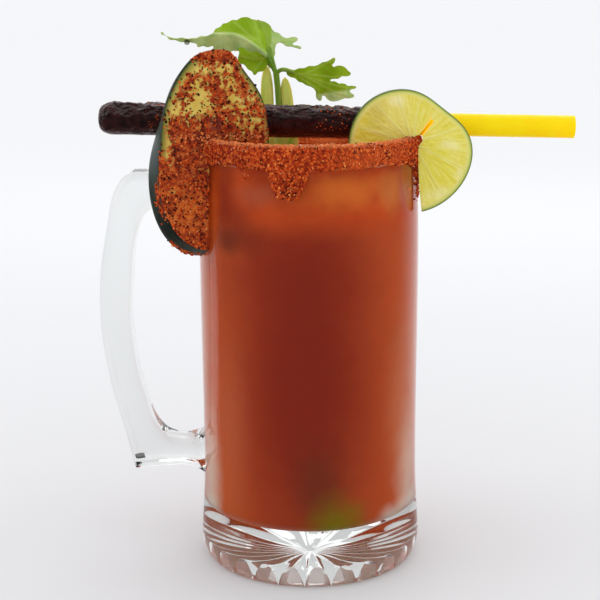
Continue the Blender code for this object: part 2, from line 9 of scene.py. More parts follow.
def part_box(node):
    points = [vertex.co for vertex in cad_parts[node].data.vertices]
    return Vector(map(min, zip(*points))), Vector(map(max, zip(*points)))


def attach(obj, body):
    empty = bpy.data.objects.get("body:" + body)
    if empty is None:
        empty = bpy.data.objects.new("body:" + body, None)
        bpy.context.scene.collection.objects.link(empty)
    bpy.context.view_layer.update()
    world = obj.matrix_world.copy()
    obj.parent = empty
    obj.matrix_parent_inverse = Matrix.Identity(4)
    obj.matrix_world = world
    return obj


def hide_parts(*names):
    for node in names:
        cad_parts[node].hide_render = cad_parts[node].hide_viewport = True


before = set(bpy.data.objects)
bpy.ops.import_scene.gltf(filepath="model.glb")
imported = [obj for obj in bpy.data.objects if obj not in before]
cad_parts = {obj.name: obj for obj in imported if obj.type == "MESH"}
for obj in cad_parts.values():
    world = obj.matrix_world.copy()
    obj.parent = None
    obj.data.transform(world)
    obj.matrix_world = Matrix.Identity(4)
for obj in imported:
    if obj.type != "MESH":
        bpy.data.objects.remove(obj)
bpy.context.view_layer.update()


# The mug is clear pressed glass: a straight body with a thick fluted foot, and a handle fused to it.
# The body is one outline spun round the mug's axis, with the flutes pushed up into its underside.
# The handle is a bow cut from the side view, rounded, and joined on so that no wall is left between.
MM = 0.001
WELD = 0.002 * MM  # points of a spun piece that are closer than this are one
MUG_LOW, MUG_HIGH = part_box("mug")
AXIS_X = MUG_HIGH.x - MUG_HIGH.y  # the body is as deep as it is wide, so its middle is here
RIM = MUG_HIGH.z / MM
MUG_STEPS = 384
FLUTE_COUNT = 24
FLUTE_TURN = math.radians(3.75)
FLUTE_HEIGHT = 8.0
FLUTE_ROUND, FLUTE_FALL = 0.8, 2.2  # how round the arches are, and how fast they flatten inwards
FOOT_OUTER, FOOT_INNER = 42.8, 40.8
BORE_KNOTS = [
    (0.0, 20.5), (20.0, 20.7), (33.0, 21.8), (38.4, 24.3), (40.8, 29.0), (41.35, 44.0), (41.6, 110.0),
    (41.6, 140.0), (41.2, 165.0),
]
LIP_KNOTS = [(41.2, RIM - 1.8), (41.9, RIM - 0.5), (42.9, RIM), (43.9, RIM - 0.5), (44.6, RIM - 1.8)]
SIDE_KNOTS = [
    (44.8, 165.0), (45.4, 140.0), (45.4, 110.0), (45.15, 44.0), (46.0, 22.0), (46.6, 12.0), (46.4, 7.0),
    (45.4, 3.4), (44.0, 1.0), (FOOT_OUTER, 0.0),
]
UNDER_KNOTS = [(39.4, 0.7), (30.0, 1.6), (18.0, 2.6), (8.0, 3.3), (0.0, 3.6)]
HANDLE_REACH = (MUG_LOW.x - AXIS_X) / MM
HANDLE_DEPTH = 17.0
HANDLE_ROUNDING = 4.0
ROOT = -43.7
BOW_OUTSIDE = [
    (ROOT, 165.5, True), (-72.0, 165.5, True), (-77.0, 162.0, False), (-83.9, 139.4, False),
    (HANDLE_REACH, 109.6, False), (-84.4, 79.3, False), (-77.6, 52.2, False), (-74.4, 38.4, True),
]
BOW_INSIDE = [
    (-60.0, 39.6, False), (-50.5, 39.3, False), (ROOT, 35.5, True), (ROOT, 54.5, True), (-50.5, 51.9, False),
    (-57.0, 52.2, False), (-62.6, 55.0, False), (-69.8, 72.8, False), (-74.0, 97.8, False),
    (-73.8, 115.9, False), (-70.1, 142.0, False), (-66.5, 148.6, False), (-60.0, 150.6, False),
    (-50.5, 150.8, False), (ROOT, 148.5, True),
]


def rgb(red, green, blue):
    """A colour as seen on a screen, from 0 to 255, turned into the light values that a shader takes."""
    shares = [part / 255 for part in (red, green, blue)]
    return (*(part / 12.92 if part <= 0.04045 else ((part + 0.055) / 1.055) ** 2.4 for part in shares), 1.0)


def curved(knots, cuts):
    """Points on a smooth curve through the knots, with so many cuts between each two of them."""
    points = []
    line = [knots[0], *knots, knots[-1]]
    for before, start, stop, after in zip(line, line[1:], line[2:], line[3:]):
        for cut in range(cuts):
            t = cut / cuts
            points.append(tuple(
                0.5 * (
                    2 * b + (c - a) * t + (2 * a - 5 * b + 4 * c - d) * t**2 + (3 * b - a - 3 * c + d) * t**3
                )
                for a, b, c, d in zip(before, start, stop, after)
            ))
    return points + [knots[-1]]


def at(place):
    """Where a place given in millimetres from the mug's axis lies in the scene."""
    return Vector((AXIS_X, 0, 0)) + Vector(place) * MM


def from_axis(point):
    """A point of the scene, in millimetres from the mug's axis."""
    return (point - Vector((AXIS_X, 0, 0))) / MM


def alone(piece):
    """Selects one piece and nothing else."""
    bpy.ops.object.select_all(action="DESELECT")
    bpy.context.view_layer.objects.active = piece
    piece.select_set(True)


def applied(piece, kind, **settings):
    """Gives a piece one modifier with its settings, and applies it."""
    modifier = piece.modifiers.new(kind, kind)
    for name, value in settings.items():
        setattr(modifier, name, value)
    bpy.ops.object.modifier_apply(modifier=modifier.name)


def cleaned(weld):
    """Merges the active piece's points that are closer than a distance, and turns its faces outwards."""
    bpy.ops.object.mode_set(mode="EDIT")
    bpy.ops.mesh.select_all(action="SELECT")
    bpy.ops.mesh.remove_doubles(threshold=weld)
    bpy.ops.mesh.normals_make_consistent(inside=False)
    bpy.ops.object.mode_set(mode="OBJECT")


def spun(name, outline, steps):
    """Extrudes one vertex along an outline of (radius, height) and turns it round the mug's axis.

    The screw modifier turns it, as that orders the faces alike on each run, and strewn grains follow them.
    """
    bpy.ops.object.select_all(action="DESELECT")
    bpy.ops.mesh.primitive_plane_add(size=MM, location=(AXIS_X, 0, 0))
    piece = bpy.context.object
    piece.name = piece.data.name = name
    bpy.ops.object.mode_set(mode="EDIT")
    bpy.ops.mesh.select_mode(type="VERT")
    bpy.ops.mesh.merge(type="CENTER")
    bpy.ops.transform.translate(value=(outline[0][0] * MM, 0, outline[0][1] * MM))
    for (radius, height), (next_radius, next_height) in zip(outline, outline[1:]):
        move = ((next_radius - radius) * MM, 0, (next_height - height) * MM)
        bpy.ops.mesh.extrude_region_move(TRANSFORM_OT_translate={"value": move})
    bpy.ops.mesh.select_all(action="SELECT")
    bpy.ops.mesh.remove_doubles(threshold=WELD)
    bpy.ops.object.mode_set(mode="OBJECT")
    applied(piece, "SCREW", steps=steps, render_steps=steps, use_smooth_shade=False)
    bpy.ops.object.transform_apply(location=True)
    cleaned(WELD)
    return piece


def reshaped(piece, rule):
    """Moves every point of a piece to where a rule puts it."""
    for point in piece.data.vertices:
        point.co = rule(point.co.copy())
    piece.data.update()
    return piece


def merged(piece, other, operation="UNION"):
    """Joins another piece to this one, or cuts this one with it."""
    alone(piece)
    applied(piece, "BOOLEAN", object=other, operation=operation, solver="MANIFOLD")
    bpy.data.objects.remove(other)
    return piece


def smoothed(piece, degrees):
    """Shades a piece smooth, apart from edges sharper than an angle."""
    alone(piece)
    bpy.ops.object.shade_smooth_by_angle(angle=math.radians(degrees))


def arched(point):
    """Lifts the underside between its ridges into a star of round-topped flutes."""
    radius = math.hypot(point.x - AXIS_X, point.y) / MM
    if point.z > 12 * MM or radius > FOOT_INNER - 0.02:
        return point
    turn = (math.atan2(point.y, point.x - AXIS_X) - FLUTE_TURN) / math.tau * FLUTE_COUNT
    across = abs(turn - round(turn)) * 2.0  # 1 on a ridge, 0 in the middle of a flute
    inward = min(1.0, 1.6 * (1.0 - radius / FOOT_INNER))
    pointed_arch = max(0.0, 1.0 - across**2) ** FLUTE_ROUND
    arch = pointed_arch * (1.0 - inward) + (0.5 + 0.5 * math.cos(math.pi * across)) * inward
    wall = min(1.0, (FOOT_INNER - radius) / 0.6)
    point.z += FLUTE_HEIGHT * MM * arch * wall * (radius / FOOT_INNER) ** FLUTE_FALL
    return point


def traced(name, points, corners, closed, **settings):
    """A curve through its points, each of them smooth or a corner, with its settings, turned into a mesh."""
    curve = bpy.data.curves.new(name, "CURVE")
    for setting, value in settings.items():
        setattr(curve, setting, value)
    spline = curve.splines.new("BEZIER")
    spline.bezier_points.add(len(points) - 1)
    for point, corner, knot in zip(points, corners, spline.bezier_points):
        knot.co = point
        knot.handle_left_type = knot.handle_right_type = "VECTOR" if corner else "AUTO"
    spline.use_cyclic_u = closed
    piece = bpy.data.objects.new(name, curve)
    bpy.context.scene.collection.objects.link(piece)
    alone(piece)
    bpy.ops.object.convert(target="MESH")
    return piece


def bow(name, knots, depth, rounding):
    """A side view of (x, z, corner or not) from the mug's axis, given its depth and rounded edges."""
    piece = traced(
        name, [(x * MM, z * MM, 0) for x, z, corner in knots], [corner for x, z, corner in knots], True,
        dimensions="2D", fill_mode="BOTH", extrude=(depth / 2 - rounding) * MM, bevel_depth=rounding * MM,
        bevel_resolution=6, offset=-rounding * MM, resolution_u=12,
    )
    piece.rotation_euler.x = math.pi / 2
    piece.location.x = AXIS_X
    bpy.ops.object.transform_apply(location=True, rotation=True)
    cleaned(0.01 * MM)
    return piece


def node(tree, kind, inputs=None, **settings):
    """A node with its settings, its inputs given values or fed by outputs. Shader nodes go by short kinds."""
    made = tree.nodes.new(kind if "Node" in kind else "ShaderNode" + kind)
    for name, value in settings.items():
        setattr(made, name, value)
    for name, value in (inputs or {}).items():
        if isinstance(value, bpy.types.NodeSocket):
            tree.links.new(value, made.inputs[name])
        else:
            made.inputs[name].default_value = value
    return made


def bumped(tree, shader, height, strength, distance):
    """Feeds a height to a shader's normal, with its depth in millimetres."""
    bump = node(tree, "Bump", {"Strength": strength, "Distance": distance * MM, "Height": height})
    tree.links.new(bump.outputs["Normal"], shader.inputs["Normal"])


def principled(name, roughness, **values):
    """A new material with its shader's plain values set; a socket's name has underscores for its spaces."""
    material = bpy.data.materials.new(name)
    material.use_nodes = True
    shader = material.node_tree.nodes["Principled BSDF"]
    shader.inputs["Roughness"].default_value = roughness
    for socket, value in values.items():
        shader.inputs[socket.replace("_", " ")].default_value = value
    return material, material.node_tree, shader


def clear_glass(name, ripple):
    """Clear glass, a little grey where it is thick, with a faint ripple. It lets direct light through."""
    material, tree, shader = principled(
        name, 0.0, IOR=1.5, Transmission_Weight=1.0, Base_Color=(0.985, 0.995, 0.99, 1.0),
    )
    place = node(tree, "TexCoord").outputs["Object"]
    waves = node(tree, "TexNoise", {"Vector": place, "Scale": 70.0, "Detail": 1.0})
    bumped(tree, shader, waves.outputs["Fac"], ripple, 1.0)
    clear = node(tree, "BsdfTransparent", {"Color": (0.93, 0.94, 0.94, 1.0)})
    straight = node(tree, "LightPath").outputs["Is Shadow Ray"]
    either = node(tree, "MixShader", {"Fac": straight, 1: shader.outputs["BSDF"], 2: clear.outputs["BSDF"]})
    grey = node(tree, "VolumeAbsorption", {"Color": (0.5, 0.515, 0.505, 1.0), "Density": 8.0})
    output = tree.nodes["Material Output"].inputs
    tree.links.new(either.outputs["Shader"], output["Surface"])
    tree.links.new(grey.outputs["Volume"], output["Volume"])
    return material


foot = [(FOOT_OUTER, 0.0), (FOOT_INNER, 0.0), (40.65, 0.1), (40.5, 0.25), (40.35, 0.4), (40.2, 0.6)]
body = curved(BORE_KNOTS, 5) + curved(LIP_KNOTS, 3) + curved(SIDE_KNOTS, 5) + foot[1:]
body += curved(UNDER_KNOTS, 5)
mug = reshaped(spun("mug_glass", body, MUG_STEPS), arched)
mug = merged(mug, bow("handle_bow", BOW_OUTSIDE + BOW_INSIDE, HANDLE_DEPTH, HANDLE_ROUNDING))
smoothed(mug, 32)
mug.data.materials.clear()
mug.data.materials.append(clear_glass("clear glass", 0.006))
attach(mug, "root")
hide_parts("mug")


# The drink is beer with tomato and lime juice, cloudy and red-brown. It fills the mug to just under the rim.
# It is spun like the mug and reaches just into the glass, so that no air shows between the two.
# Ice that lies against the wall, and the garnishes behind it, only show as lighter clouds in it.
LEVEL = 169.0
SOAK = 0.15  # how far the drink reaches into the glass, in millimetres
LIGHT_FROM, LIGHT_TO = 141.0, 153.0  # the drink turns lighter between these heights
# The darkest colour is painted shade, laid on the drink's front middle.
DRINK_PAINTED_SHADE = rgb(162, 50, 29)
DRINK_SIDE = rgb(216, 99, 48)
DRINK_LIGHT = rgb(226, 94, 38)


def mixed(tree, share, first, second):
    """Mixes two colours, each a value or another node's output, by a share that is a value or an output."""
    return node(tree, "Mix", {0: share, 6: first, 7: second}, data_type="RGBA").outputs[2]


def maths(tree, operation, *values, **settings):
    """One step of arithmetic on values or outputs."""
    return node(tree, "Math", dict(enumerate(values)), operation=operation, **settings).outputs["Value"]


def vectors(tree, operation, *values):
    """One step of vector arithmetic, which gives a number for a length or a distance."""
    result = "Value" if operation in ("LENGTH", "DISTANCE") else "Vector"
    return node(tree, "VectorMath", dict(enumerate(values)), operation=operation).outputs[result]


def scaled(tree, value, factor):
    """A mask made weaker."""
    return maths(tree, "MULTIPLY", value, factor)


def ranged(tree, value, low, high, kind="SMOOTHSTEP"):
    """A value spread so that low becomes 0 and high becomes 1, eased at both unless the kind is LINEAR."""
    spread = {"Value": value, "From Min": low, "From Max": high}
    return node(tree, "MapRange", spread, interpolation_type=kind).outputs["Result"]


def mask_group(name, **usual):
    """A new node group with inputs of the usual values and one mask to put out."""
    group = bpy.data.node_groups.new(name, "ShaderNodeTree")
    for label, value in usual.items():
        kind = "NodeSocketVector" if isinstance(value, Vector) else "NodeSocketFloat"
        group.interface.new_socket(label, in_out="INPUT", socket_type=kind).default_value = value
    group.interface.new_socket("Mask", in_out="OUTPUT", socket_type="NodeSocketFloat")
    return group, group.nodes.new("NodeGroupInput").outputs, group.nodes.new("NodeGroupOutput").inputs["Mask"]


def cloud_group():
    """An uneven mask between 0 and 1 from noise on the object's own coordinates."""
    group, given, mask = mask_group("uneven clouds", Scale=100.0, Detail=3.0, Low=0.4, High=0.6, Stretch=1.0)
    place = node(group, "TexCoord").outputs["Object"]
    stretch = node(group, "CombineXYZ", {"X": 1.0, "Y": 1.0, "Z": given["Stretch"]}).outputs["Vector"]
    squeezed = vectors(group, "MULTIPLY", place, stretch)
    waves = {"Vector": squeezed, "Scale": given["Scale"], "Detail": given["Detail"]}
    pattern = node(group, "TexNoise", waves)
    group.links.new(ranged(group, pattern.outputs["Fac"], given["Low"], given["High"]), mask)
    return group


def blot_group():
    """A soft-edged mask round a place, as wide along each axis as its size says, with a ragged edge."""
    group, given, mask = mask_group(
        "soft blot", Centre=Vector((0, 0, 0)), Size=Vector((1, 1, 1)), Ragged=0.5, Core=0.0,
    )
    place = node(group, "TexCoord").outputs["Object"]
    away = vectors(group, "SUBTRACT", place, given["Centre"])
    reach = vectors(group, "LENGTH", vectors(group, "DIVIDE", away, given["Size"]))
    pattern = node(group, "TexNoise", {"Vector": place, "Scale": 140.0, "Detail": 2.0}).outputs["Fac"]
    frayed = maths(group, "MULTIPLY_ADD", maths(group, "SUBTRACT", pattern, 0.5), given["Ragged"], reach)
    group.links.new(ranged(group, frayed, 1.0, given["Core"]), mask)
    return group


CLOUDS = cloud_group()
BLOT = blot_group()


def clouds(tree, scale, detail=3.0, low=0.4, high=0.6, stretch=1.0):
    """The uneven clouds in a material, with their own scale and limits."""
    values = {"Scale": scale, "Detail": detail, "Low": low, "High": high, "Stretch": stretch}
    return node(tree, "Group", values, node_tree=CLOUDS).outputs["Mask"]


def blot(tree, x, y, z, width, depth, height, ragged=0.5, core=0.0):
    """A blot at a place from the mug's axis, in millimetres, with its half sizes and its full inner share."""
    size = Vector((width, depth, height)) * MM
    values = {"Centre": at((x, y, z)), "Size": size, "Ragged": ragged, "Core": core}
    return node(tree, "Group", values, node_tree=BLOT).outputs["Mask"]


def spotted(tree, shade, x, y, z, width, depth, height, ragged, strength, colour, core=0.0):
    """A colour with one soft blot of another colour on it."""
    mask = scaled(tree, blot(tree, x, y, z, width, depth, height, ragged, core), strength)
    return mixed(tree, mask, shade, colour)


wall = [(radius + SOAK, height) for radius, height in curved(BORE_KNOTS, 5)[1:]]
wall = [(radius, height - SOAK if height < 30 else height) for radius, height in wall]
surface = [(0.0, LEVEL), (12.0, LEVEL), (24.0, LEVEL), (34.0, LEVEL)]
surface += [(38.0, LEVEL + 0.05), (39.6, LEVEL + 0.2)]
surface += [(40.6, LEVEL + 0.6), (41.2 + SOAK, LEVEL + 1.3)]
outline = [(0.0, BORE_KNOTS[0][1] - SOAK), *wall, *surface[::-1]]
drink = spun("red_drink", outline, 192)
smoothed(drink, 50)

material, tree, shader = principled(
    "red drink", 0.35, IOR=1.34, Specular_IOR_Level=0.1, Subsurface_Weight=0.5, Subsurface_Scale=0.006,
    Subsurface_Radius=(1.0, 0.3, 0.12),
)
shade = mixed(tree, clouds(tree, 22.0, 3.0, 0.3, 0.7, 0.5), DRINK_SIDE, rgb(208, 92, 44))
# Painted shade: the drink is darker in its front middle and keeps its lighter colour towards the sides.
shade = spotted(tree, shade, -2.5, -42, 88, 45, 60, 130, 0.12, 1.0, DRINK_PAINTED_SHADE, 0.15)
shade = spotted(tree, shade, -5, -40, 130, 46, 50, 30, 0.15, 0.7, DRINK_PAINTED_SHADE)
light = mixed(tree, clouds(tree, 60.0, 2.0, 0.35, 0.65), DRINK_LIGHT, rgb(208, 82, 34))
level = node(tree, "SeparateXYZ", {"Vector": node(tree, "TexCoord").outputs["Object"]}).outputs["Z"]
shade = mixed(tree, ranged(tree, level, LIGHT_FROM * MM, LIGHT_TO * MM), shade, light)
for spot in (
    # Painted light: the underside is paler where light comes up through the foot.
    (0, 0, BORE_KNOTS[0][1] - 1.5, 62, 62, 9, 0.2, 0.85, rgb(236, 200, 180)),  # the paler underside
    (-29, -30, 150, 13, 22, 12, 0.3, 0.6, rgb(150, 52, 30)),  # a brown cloud beside the cucumber
    (-24, -33, 143, 16, 20, 10, 0.3, 0.5, rgb(126, 42, 26)),
    (-31, -28, 141, 8, 16, 9, 0.3, 0.7, rgb(120, 56, 34)),
    (-32, -27, 158, 7, 16, 22, 0.5, 0.8, rgb(156, 46, 18)),
    (-40, -14, 152, 8, 15, 28, 0.3, 0.95, rgb(244, 112, 34)),
    (-18, -36, 160, 16, 14, 7, 0.5, 0.6, rgb(206, 112, 80)),  # pale ice
    (12, -36, 162, 27, 18, 11, 0.5, 0.85, rgb(255, 144, 58)),
    (31, -27, 160, 9, 14, 13, 0.5, 0.6, rgb(250, 166, 84)),
    (37, -18, 158, 6, 12, 9, 0.5, 0.8, rgb(214, 120, 100)),
    (3, -38, 42, 16, 20, 30, 0.4, 0.7, rgb(126, 60, 34)),  # the celery's foot
    (10.5, -38, 23, 17, 24, 21, 0.5, 1.0, rgb(140, 128, 14)),
    # Painted light: the sides and lower corners are paler, where light shines through the drink's thin edges
    # and the clear glass at its corners.
    (38, -16, 40, 12, 14, 40, 0.3, 0.9, rgb(238, 204, 184)),  # the paler sides
    (-40, -15, 38, 9, 14, 44, 0.3, 0.95, rgb(242, 214, 196)),
    (33, -25, 22, 13, 15, 11, 0.3, 0.9, rgb(240, 226, 212)),
    (36, -22, 70, 12, 18, 60, 0.3, 0.35, rgb(236, 170, 130)),
    (-31, -27, 62, 13, 18, 56, 0.3, 0.2, rgb(240, 154, 112)),
    (39, -13, 26, 9, 14, 9, 0.3, 0.85, rgb(240, 226, 212)),
    (-39, -13, 25, 9, 14, 10, 0.3, 0.85, rgb(240, 226, 212)),
    (42, -11, 90, 9, 19, 70, 0.2, 0.5, rgb(232, 150, 104)),
    (-42, -11, 90, 9, 19, 70, 0.2, 0.5, rgb(232, 150, 104)),
):
    shade = spotted(tree, shade, *spot)
tree.links.new(shade, shader.inputs["Base Color"])
drink.data.materials.append(material)
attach(drink, "root")
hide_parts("drink")


# The rim wears a crust of chili and salt, pressed on damp, which runs down in one drip at the front.
# Its band is spun over the lip, reaches just into the glass and hangs lower where the real one does.
# Geometry nodes strew the chili crumbs, dark flakes and salt over it, each kind as one mesh.
CRUST_TOP, CRUST_BOTTOM, CRUST_OUTSIDE = 180.0, 171.5, 46.1
DRIP_TURN = math.radians(-100.6)
DRIP_DROP, DRIP_WIDTH = 10.0, 6.6
STRAW_MIDDLE = Vector((AXIS_X, -4.0 * MM, 185.17 * MM))  # the straw's line crosses the mug's axis here
CRUST_KNOTS = [
    (44.4, 171.9), (44.9, 171.5), (45.5, 171.3), (45.95, 171.5), (46.1, 172.6), (46.1, 176.4), (45.9, 178.0),
    (45.4, 179.1), (44.4, 179.8), (43.2, 180.0), (42.0, 179.8), (41.1, 179.2), (40.4, 178.0), (40.1, 176.2),
    (40.1, 174.4), (40.4, 171.8), (41.0, 171.0), (41.6, 171.4), (42.0, 175.6), (43.2, 177.0), (44.2, 175.6),
    (44.4, 171.9),
]


def turned_from(angle, middle):
    """The shorter way round from one angle to another."""
    return (angle - middle + math.pi) % math.tau - math.pi


def crust_drop(angle):
    """How far, in millimetres, the crust's lower edge hangs at an angle round the rim."""
    way = Vector((math.cos(angle), math.sin(angle), 0.0))
    wave = 1.2 * noise.noise(way * 3.0 + Vector((0, 0, 5))) + 0.9 * noise.noise(way * 11.0)
    wave += 0.4 * noise.noise(way * 37.0)
    away = turned_from(angle, DRIP_TURN) * CRUST_OUTSIDE
    drip = DRIP_DROP * math.exp(-(abs(away / DRIP_WIDTH) ** 5))
    right = 2.8 * math.exp(-((turned_from(angle, math.radians(-17.0)) * CRUST_OUTSIDE / 10.0) ** 2))
    return wave + drip + right + 1.6 * math.exp(-((away / (3.1 * DRIP_WIDTH)) ** 2))


def crusted(point):
    """Makes the band uneven: a hanging lower edge, dents under the straw and a grainy skin."""
    place = from_axis(point)
    radius = math.hypot(place.x, place.y)
    angle = math.atan2(place.y, place.x)
    if radius > 44.3:
        share = min(1.0, max(0.0, (CRUST_TOP - place.z) / (CRUST_TOP - CRUST_BOTTOM)))
        place.z -= crust_drop(angle) * share**2
    if place.z > RIM + 1.0:
        for side, depth in ((0.0, 1.25), (math.pi, 1.05)):
            middle = math.atan2(STRAW_MIDDLE.y / MM, math.cos(side) * CRUST_OUTSIDE)
            place.z -= depth * math.exp(-((turned_from(angle, middle) * CRUST_OUTSIDE / 4.2) ** 2))
    rough = 0.42 * noise.noise(place * 0.42) + 0.22 * noise.noise(place * 1.3)
    rough += 0.10 * noise.noise(place * 3.1)
    if 41.4 < radius < 44.9 and place.z < RIM:
        rough = 0.0
    scale = 1.0 + (rough if radius > 43.2 else -rough) / radius
    place = Vector((place.x * scale, place.y * scale, place.z + (0.5 * rough if place.z > 178.5 else 0.0)))
    return at(place)


def crumb(name, size, flat, seed, material):
    """One angular crumb, from a ball of twenty faces pushed out of shape, with its material."""
    draw = random.Random(seed)
    bpy.ops.object.select_all(action="DESELECT")
    bpy.ops.mesh.primitive_ico_sphere_add(subdivisions=1, radius=size * MM)
    piece = bpy.context.object
    piece.name = piece.data.name = name
    for point in piece.data.vertices:
        point.co *= draw.uniform(0.72, 1.2)
        point.co.z *= flat
    piece.data.materials.append(material)
    return piece


def strewn(name, ground, grain, density, smallest, largest, seed, weight):
    """Strews a grain over a copy of the ground as one mesh, so many to a square millimetre at full weight."""
    tree = bpy.data.node_groups.new(name, "GeometryNodeTree")
    tree.interface.new_socket("Geometry", in_out="INPUT", socket_type="NodeSocketGeometry")
    tree.interface.new_socket("Geometry", in_out="OUTPUT", socket_type="NodeSocketGeometry")
    share = node(tree, "GeometryNodeInputNamedAttribute", {"Name": weight}, data_type="FLOAT")
    places = node(tree, "GeometryNodeDistributePointsOnFaces", {
        "Mesh": node(tree, "NodeGroupInput").outputs[0], "Distance Min": 0.3 * MM, "Seed": seed,
        "Density Max": density / MM**2, "Density Factor": share.outputs["Attribute"],
    }, distribute_method="POISSON")
    whole_turn = (math.tau, math.tau, math.tau)
    turn = node(tree, "FunctionNodeRandomValue", {"Max": whole_turn}, data_type="FLOAT_VECTOR")
    size = node(tree, "FunctionNodeRandomValue", {2: smallest, 3: largest, "Seed": seed + 1})
    tint = node(tree, "FunctionNodeRandomValue", {"Seed": seed + 2})
    source = node(tree, "GeometryNodeObjectInfo", {"Object": grain, "As Instance": True})
    copies = node(tree, "GeometryNodeInstanceOnPoints", {
        "Points": places.outputs["Points"], "Instance": source.outputs["Geometry"],
        "Rotation": turn.outputs[0], "Scale": size.outputs[1],
    })
    kept = node(tree, "GeometryNodeStoreNamedAttribute", {
        "Geometry": copies.outputs["Instances"], "Name": "tint", "Value": tint.outputs[1],
    }, domain="INSTANCE")
    real = node(tree, "GeometryNodeRealizeInstances", {"Geometry": kept.outputs["Geometry"]})
    node(tree, "NodeGroupOutput", {0: real.outputs["Geometry"]})
    alone(ground)
    bpy.ops.object.duplicate()
    piece = bpy.context.object
    piece.name = piece.data.name = name
    applied(piece, "NODES", node_group=tree)
    bpy.data.objects.remove(grain)
    return piece


def weighed(piece, name, rule):
    """Writes a value from 0 to 1 on each point of a piece, by a rule that takes its place from the axis."""
    values = piece.data.attributes.new(name, "FLOAT", "POINT").data
    for point, value in zip(piece.data.vertices, values):
        value.value = max(0.0, min(1.0, rule(from_axis(point.co))))


def ramped(tree, value, *stops):
    """Turns a value between 0 and 1 into a colour, through stops of (place, colour)."""
    ramp = node(tree, "ValToRGB", {"Fac": value})
    ends = ramp.color_ramp.elements
    ends[0].position, ends[0].color = stops[0]
    ends[1].position, ends[1].color = stops[-1]
    for place, colour in stops[1:-1]:
        ends.new(place).color = colour
    return ramp.outputs["Color"]


def written(tree, name):
    """A value that was written on the piece's points."""
    return node(tree, "Attribute", attribute_name=name).outputs["Fac"]


def grain_finish(name, roughness, *stops, light=None):
    """A material whose colour differs from crumb to crumb and a little within each, with painted light laid
    over it when given.
    """
    material, tree, shader = principled(name, roughness, IOR=1.5, Specular_IOR_Level=0.1)
    patch = scaled(tree, clouds(tree, 1500.0, 2.0, 0.45, 0.7), 0.35)
    shade = mixed(tree, patch, ramped(tree, written(tree, "tint"), *stops), stops[0][1])
    if light:
        shade = light(tree, shade)
    tree.links.new(shade, shader.inputs["Base Color"])
    return material


def on_crust(place):
    """Full on the crust's outside and top, none inside the glass."""
    radius = math.hypot(place.x, place.y)
    if 41.3 < radius < 44.95 and place.z < RIM - 0.2:
        return 0.0
    return 0.7 + 0.6 * noise.noise(place * 0.5)


def flaked(place):
    """Dark flakes lie in drifts, and thickest in the drip and at the crust's right end."""
    angle = math.atan2(place.y, place.x)
    drifts = on_crust(place) * (0.25 + 1.6 * noise.noise(place * 0.21 + Vector((3, 1, 7))))
    for turn, height, wide, high in ((DRIP_TURN, 163.5, 5.5, 4.5), (math.radians(-20.0), 170.0, 7.0, 3.5)):
        away = turned_from(angle, turn) * CRUST_OUTSIDE
        drifts += 1.2 * math.exp(-((away / wide) ** 2) - ((place.z - height) / high) ** 2)
    return drifts


def crust_painted_light(tree, shade):
    """Painted light and shade on the crust: darker at its left, brighter at its right, a painted highlight
    along its top, and painted light on its far side.
    """
    for spot in (
        (-34, -30, 172, 26, 30, 16, 0.3, 0.25, rgb(120, 30, 12)),
        (24, -36, 174, 24, 24, 10, 0.3, 0.17, rgb(255, 130, 60)),
        (0, -36, 181.0, 95, 60, 2.4, 0.3, 0.5, rgb(255, 168, 104)),
        (8, 43, 177, 30, 12, 12, 0.3, 0.85, rgb(255, 168, 104)),
    ):
        shade = spotted(tree, shade, *spot, core=0.3)
    return shade


crust = reshaped(spun("chili_crust", curved(CRUST_KNOTS, 3), 560), crusted)
smoothed(crust, 60)
weighed(crust, "grains", on_crust)
weighed(crust, "flakes", flaked)
weighed(crust, "salt", lambda place: on_crust(place) * (1.0 if place.z > 178.0 else 0.18))
material, tree, shader = principled("damp chili crust", 0.6, IOR=1.45, Specular_IOR_Level=0.08)
shade = ramped(
    tree, clouds(tree, 700.0, 4.0, 0.3, 0.7), (0.0, rgb(112, 28, 10)), (0.35, rgb(162, 50, 18)),
    (0.7, rgb(190, 70, 26)), (1.0, rgb(216, 104, 46)),
)
shade = mixed(tree, scaled(tree, clouds(tree, 130.0, 2.0, 0.5, 0.75), 0.4), shade, rgb(110, 28, 14))
for x, y, z, width, height in ((-8.5, -45, 163.5, 8, 7), (42, -17, 169.5, 8, 5)):
    shade = spotted(tree, shade, x, y, z, width, 10, height, 0.5, 0.7, rgb(90, 22, 12))
tree.links.new(crust_painted_light(tree, shade), shader.inputs["Base Color"])
bumped(tree, shader, clouds(tree, 1600.0, 4.0, 0.3, 0.7), 0.8, 0.25)
crust.data.materials.append(material)
# The chili crumbs take the same painted light and shade as the crust.
CHILI_GRAINS = grain_finish(
    "chili crumbs", 0.55, (0.0, rgb(100, 24, 8)), (0.18, rgb(160, 44, 14)), (0.45, rgb(208, 76, 24)),
    (0.88, rgb(230, 108, 40)), (1.0, rgb(240, 146, 76)), light=crust_painted_light,
)
DARK_FLAKES = grain_finish(
    "dark chili flakes", 0.35, (0.0, rgb(44, 16, 14)), (0.6, rgb(84, 24, 16)), (1.0, rgb(128, 40, 20)),
)
SALT = grain_finish(
    "salt crystals", 0.2, (0.0, rgb(206, 112, 66)), (0.6, rgb(228, 160, 116)), (1.0, rgb(250, 220, 190)),
)


def on_glass(place):
    """Grains on the glass below the crust: a smear beside the lime, a clot at the left, two specks."""
    angle = math.degrees(math.atan2(place.y, place.x))
    smear = 1.4 * math.exp(-(((angle + 12.5) / 5.0) ** 2)) * min(1.0, max(0.0, (place.z - 152.0) / 15.0))
    clot = math.exp(-(((angle + 124.5) / 2.2) ** 2) - ((place.z - 168.5) / 2.2) ** 2)
    specks = math.exp(-(((angle + 28.4) / 0.9) ** 2) - ((place.z - 160.2) / 1.5) ** 2)
    return smear * (0.7 + 0.9 * noise.noise(place * 0.6)) + 0.8 * clot + 0.5 * specks


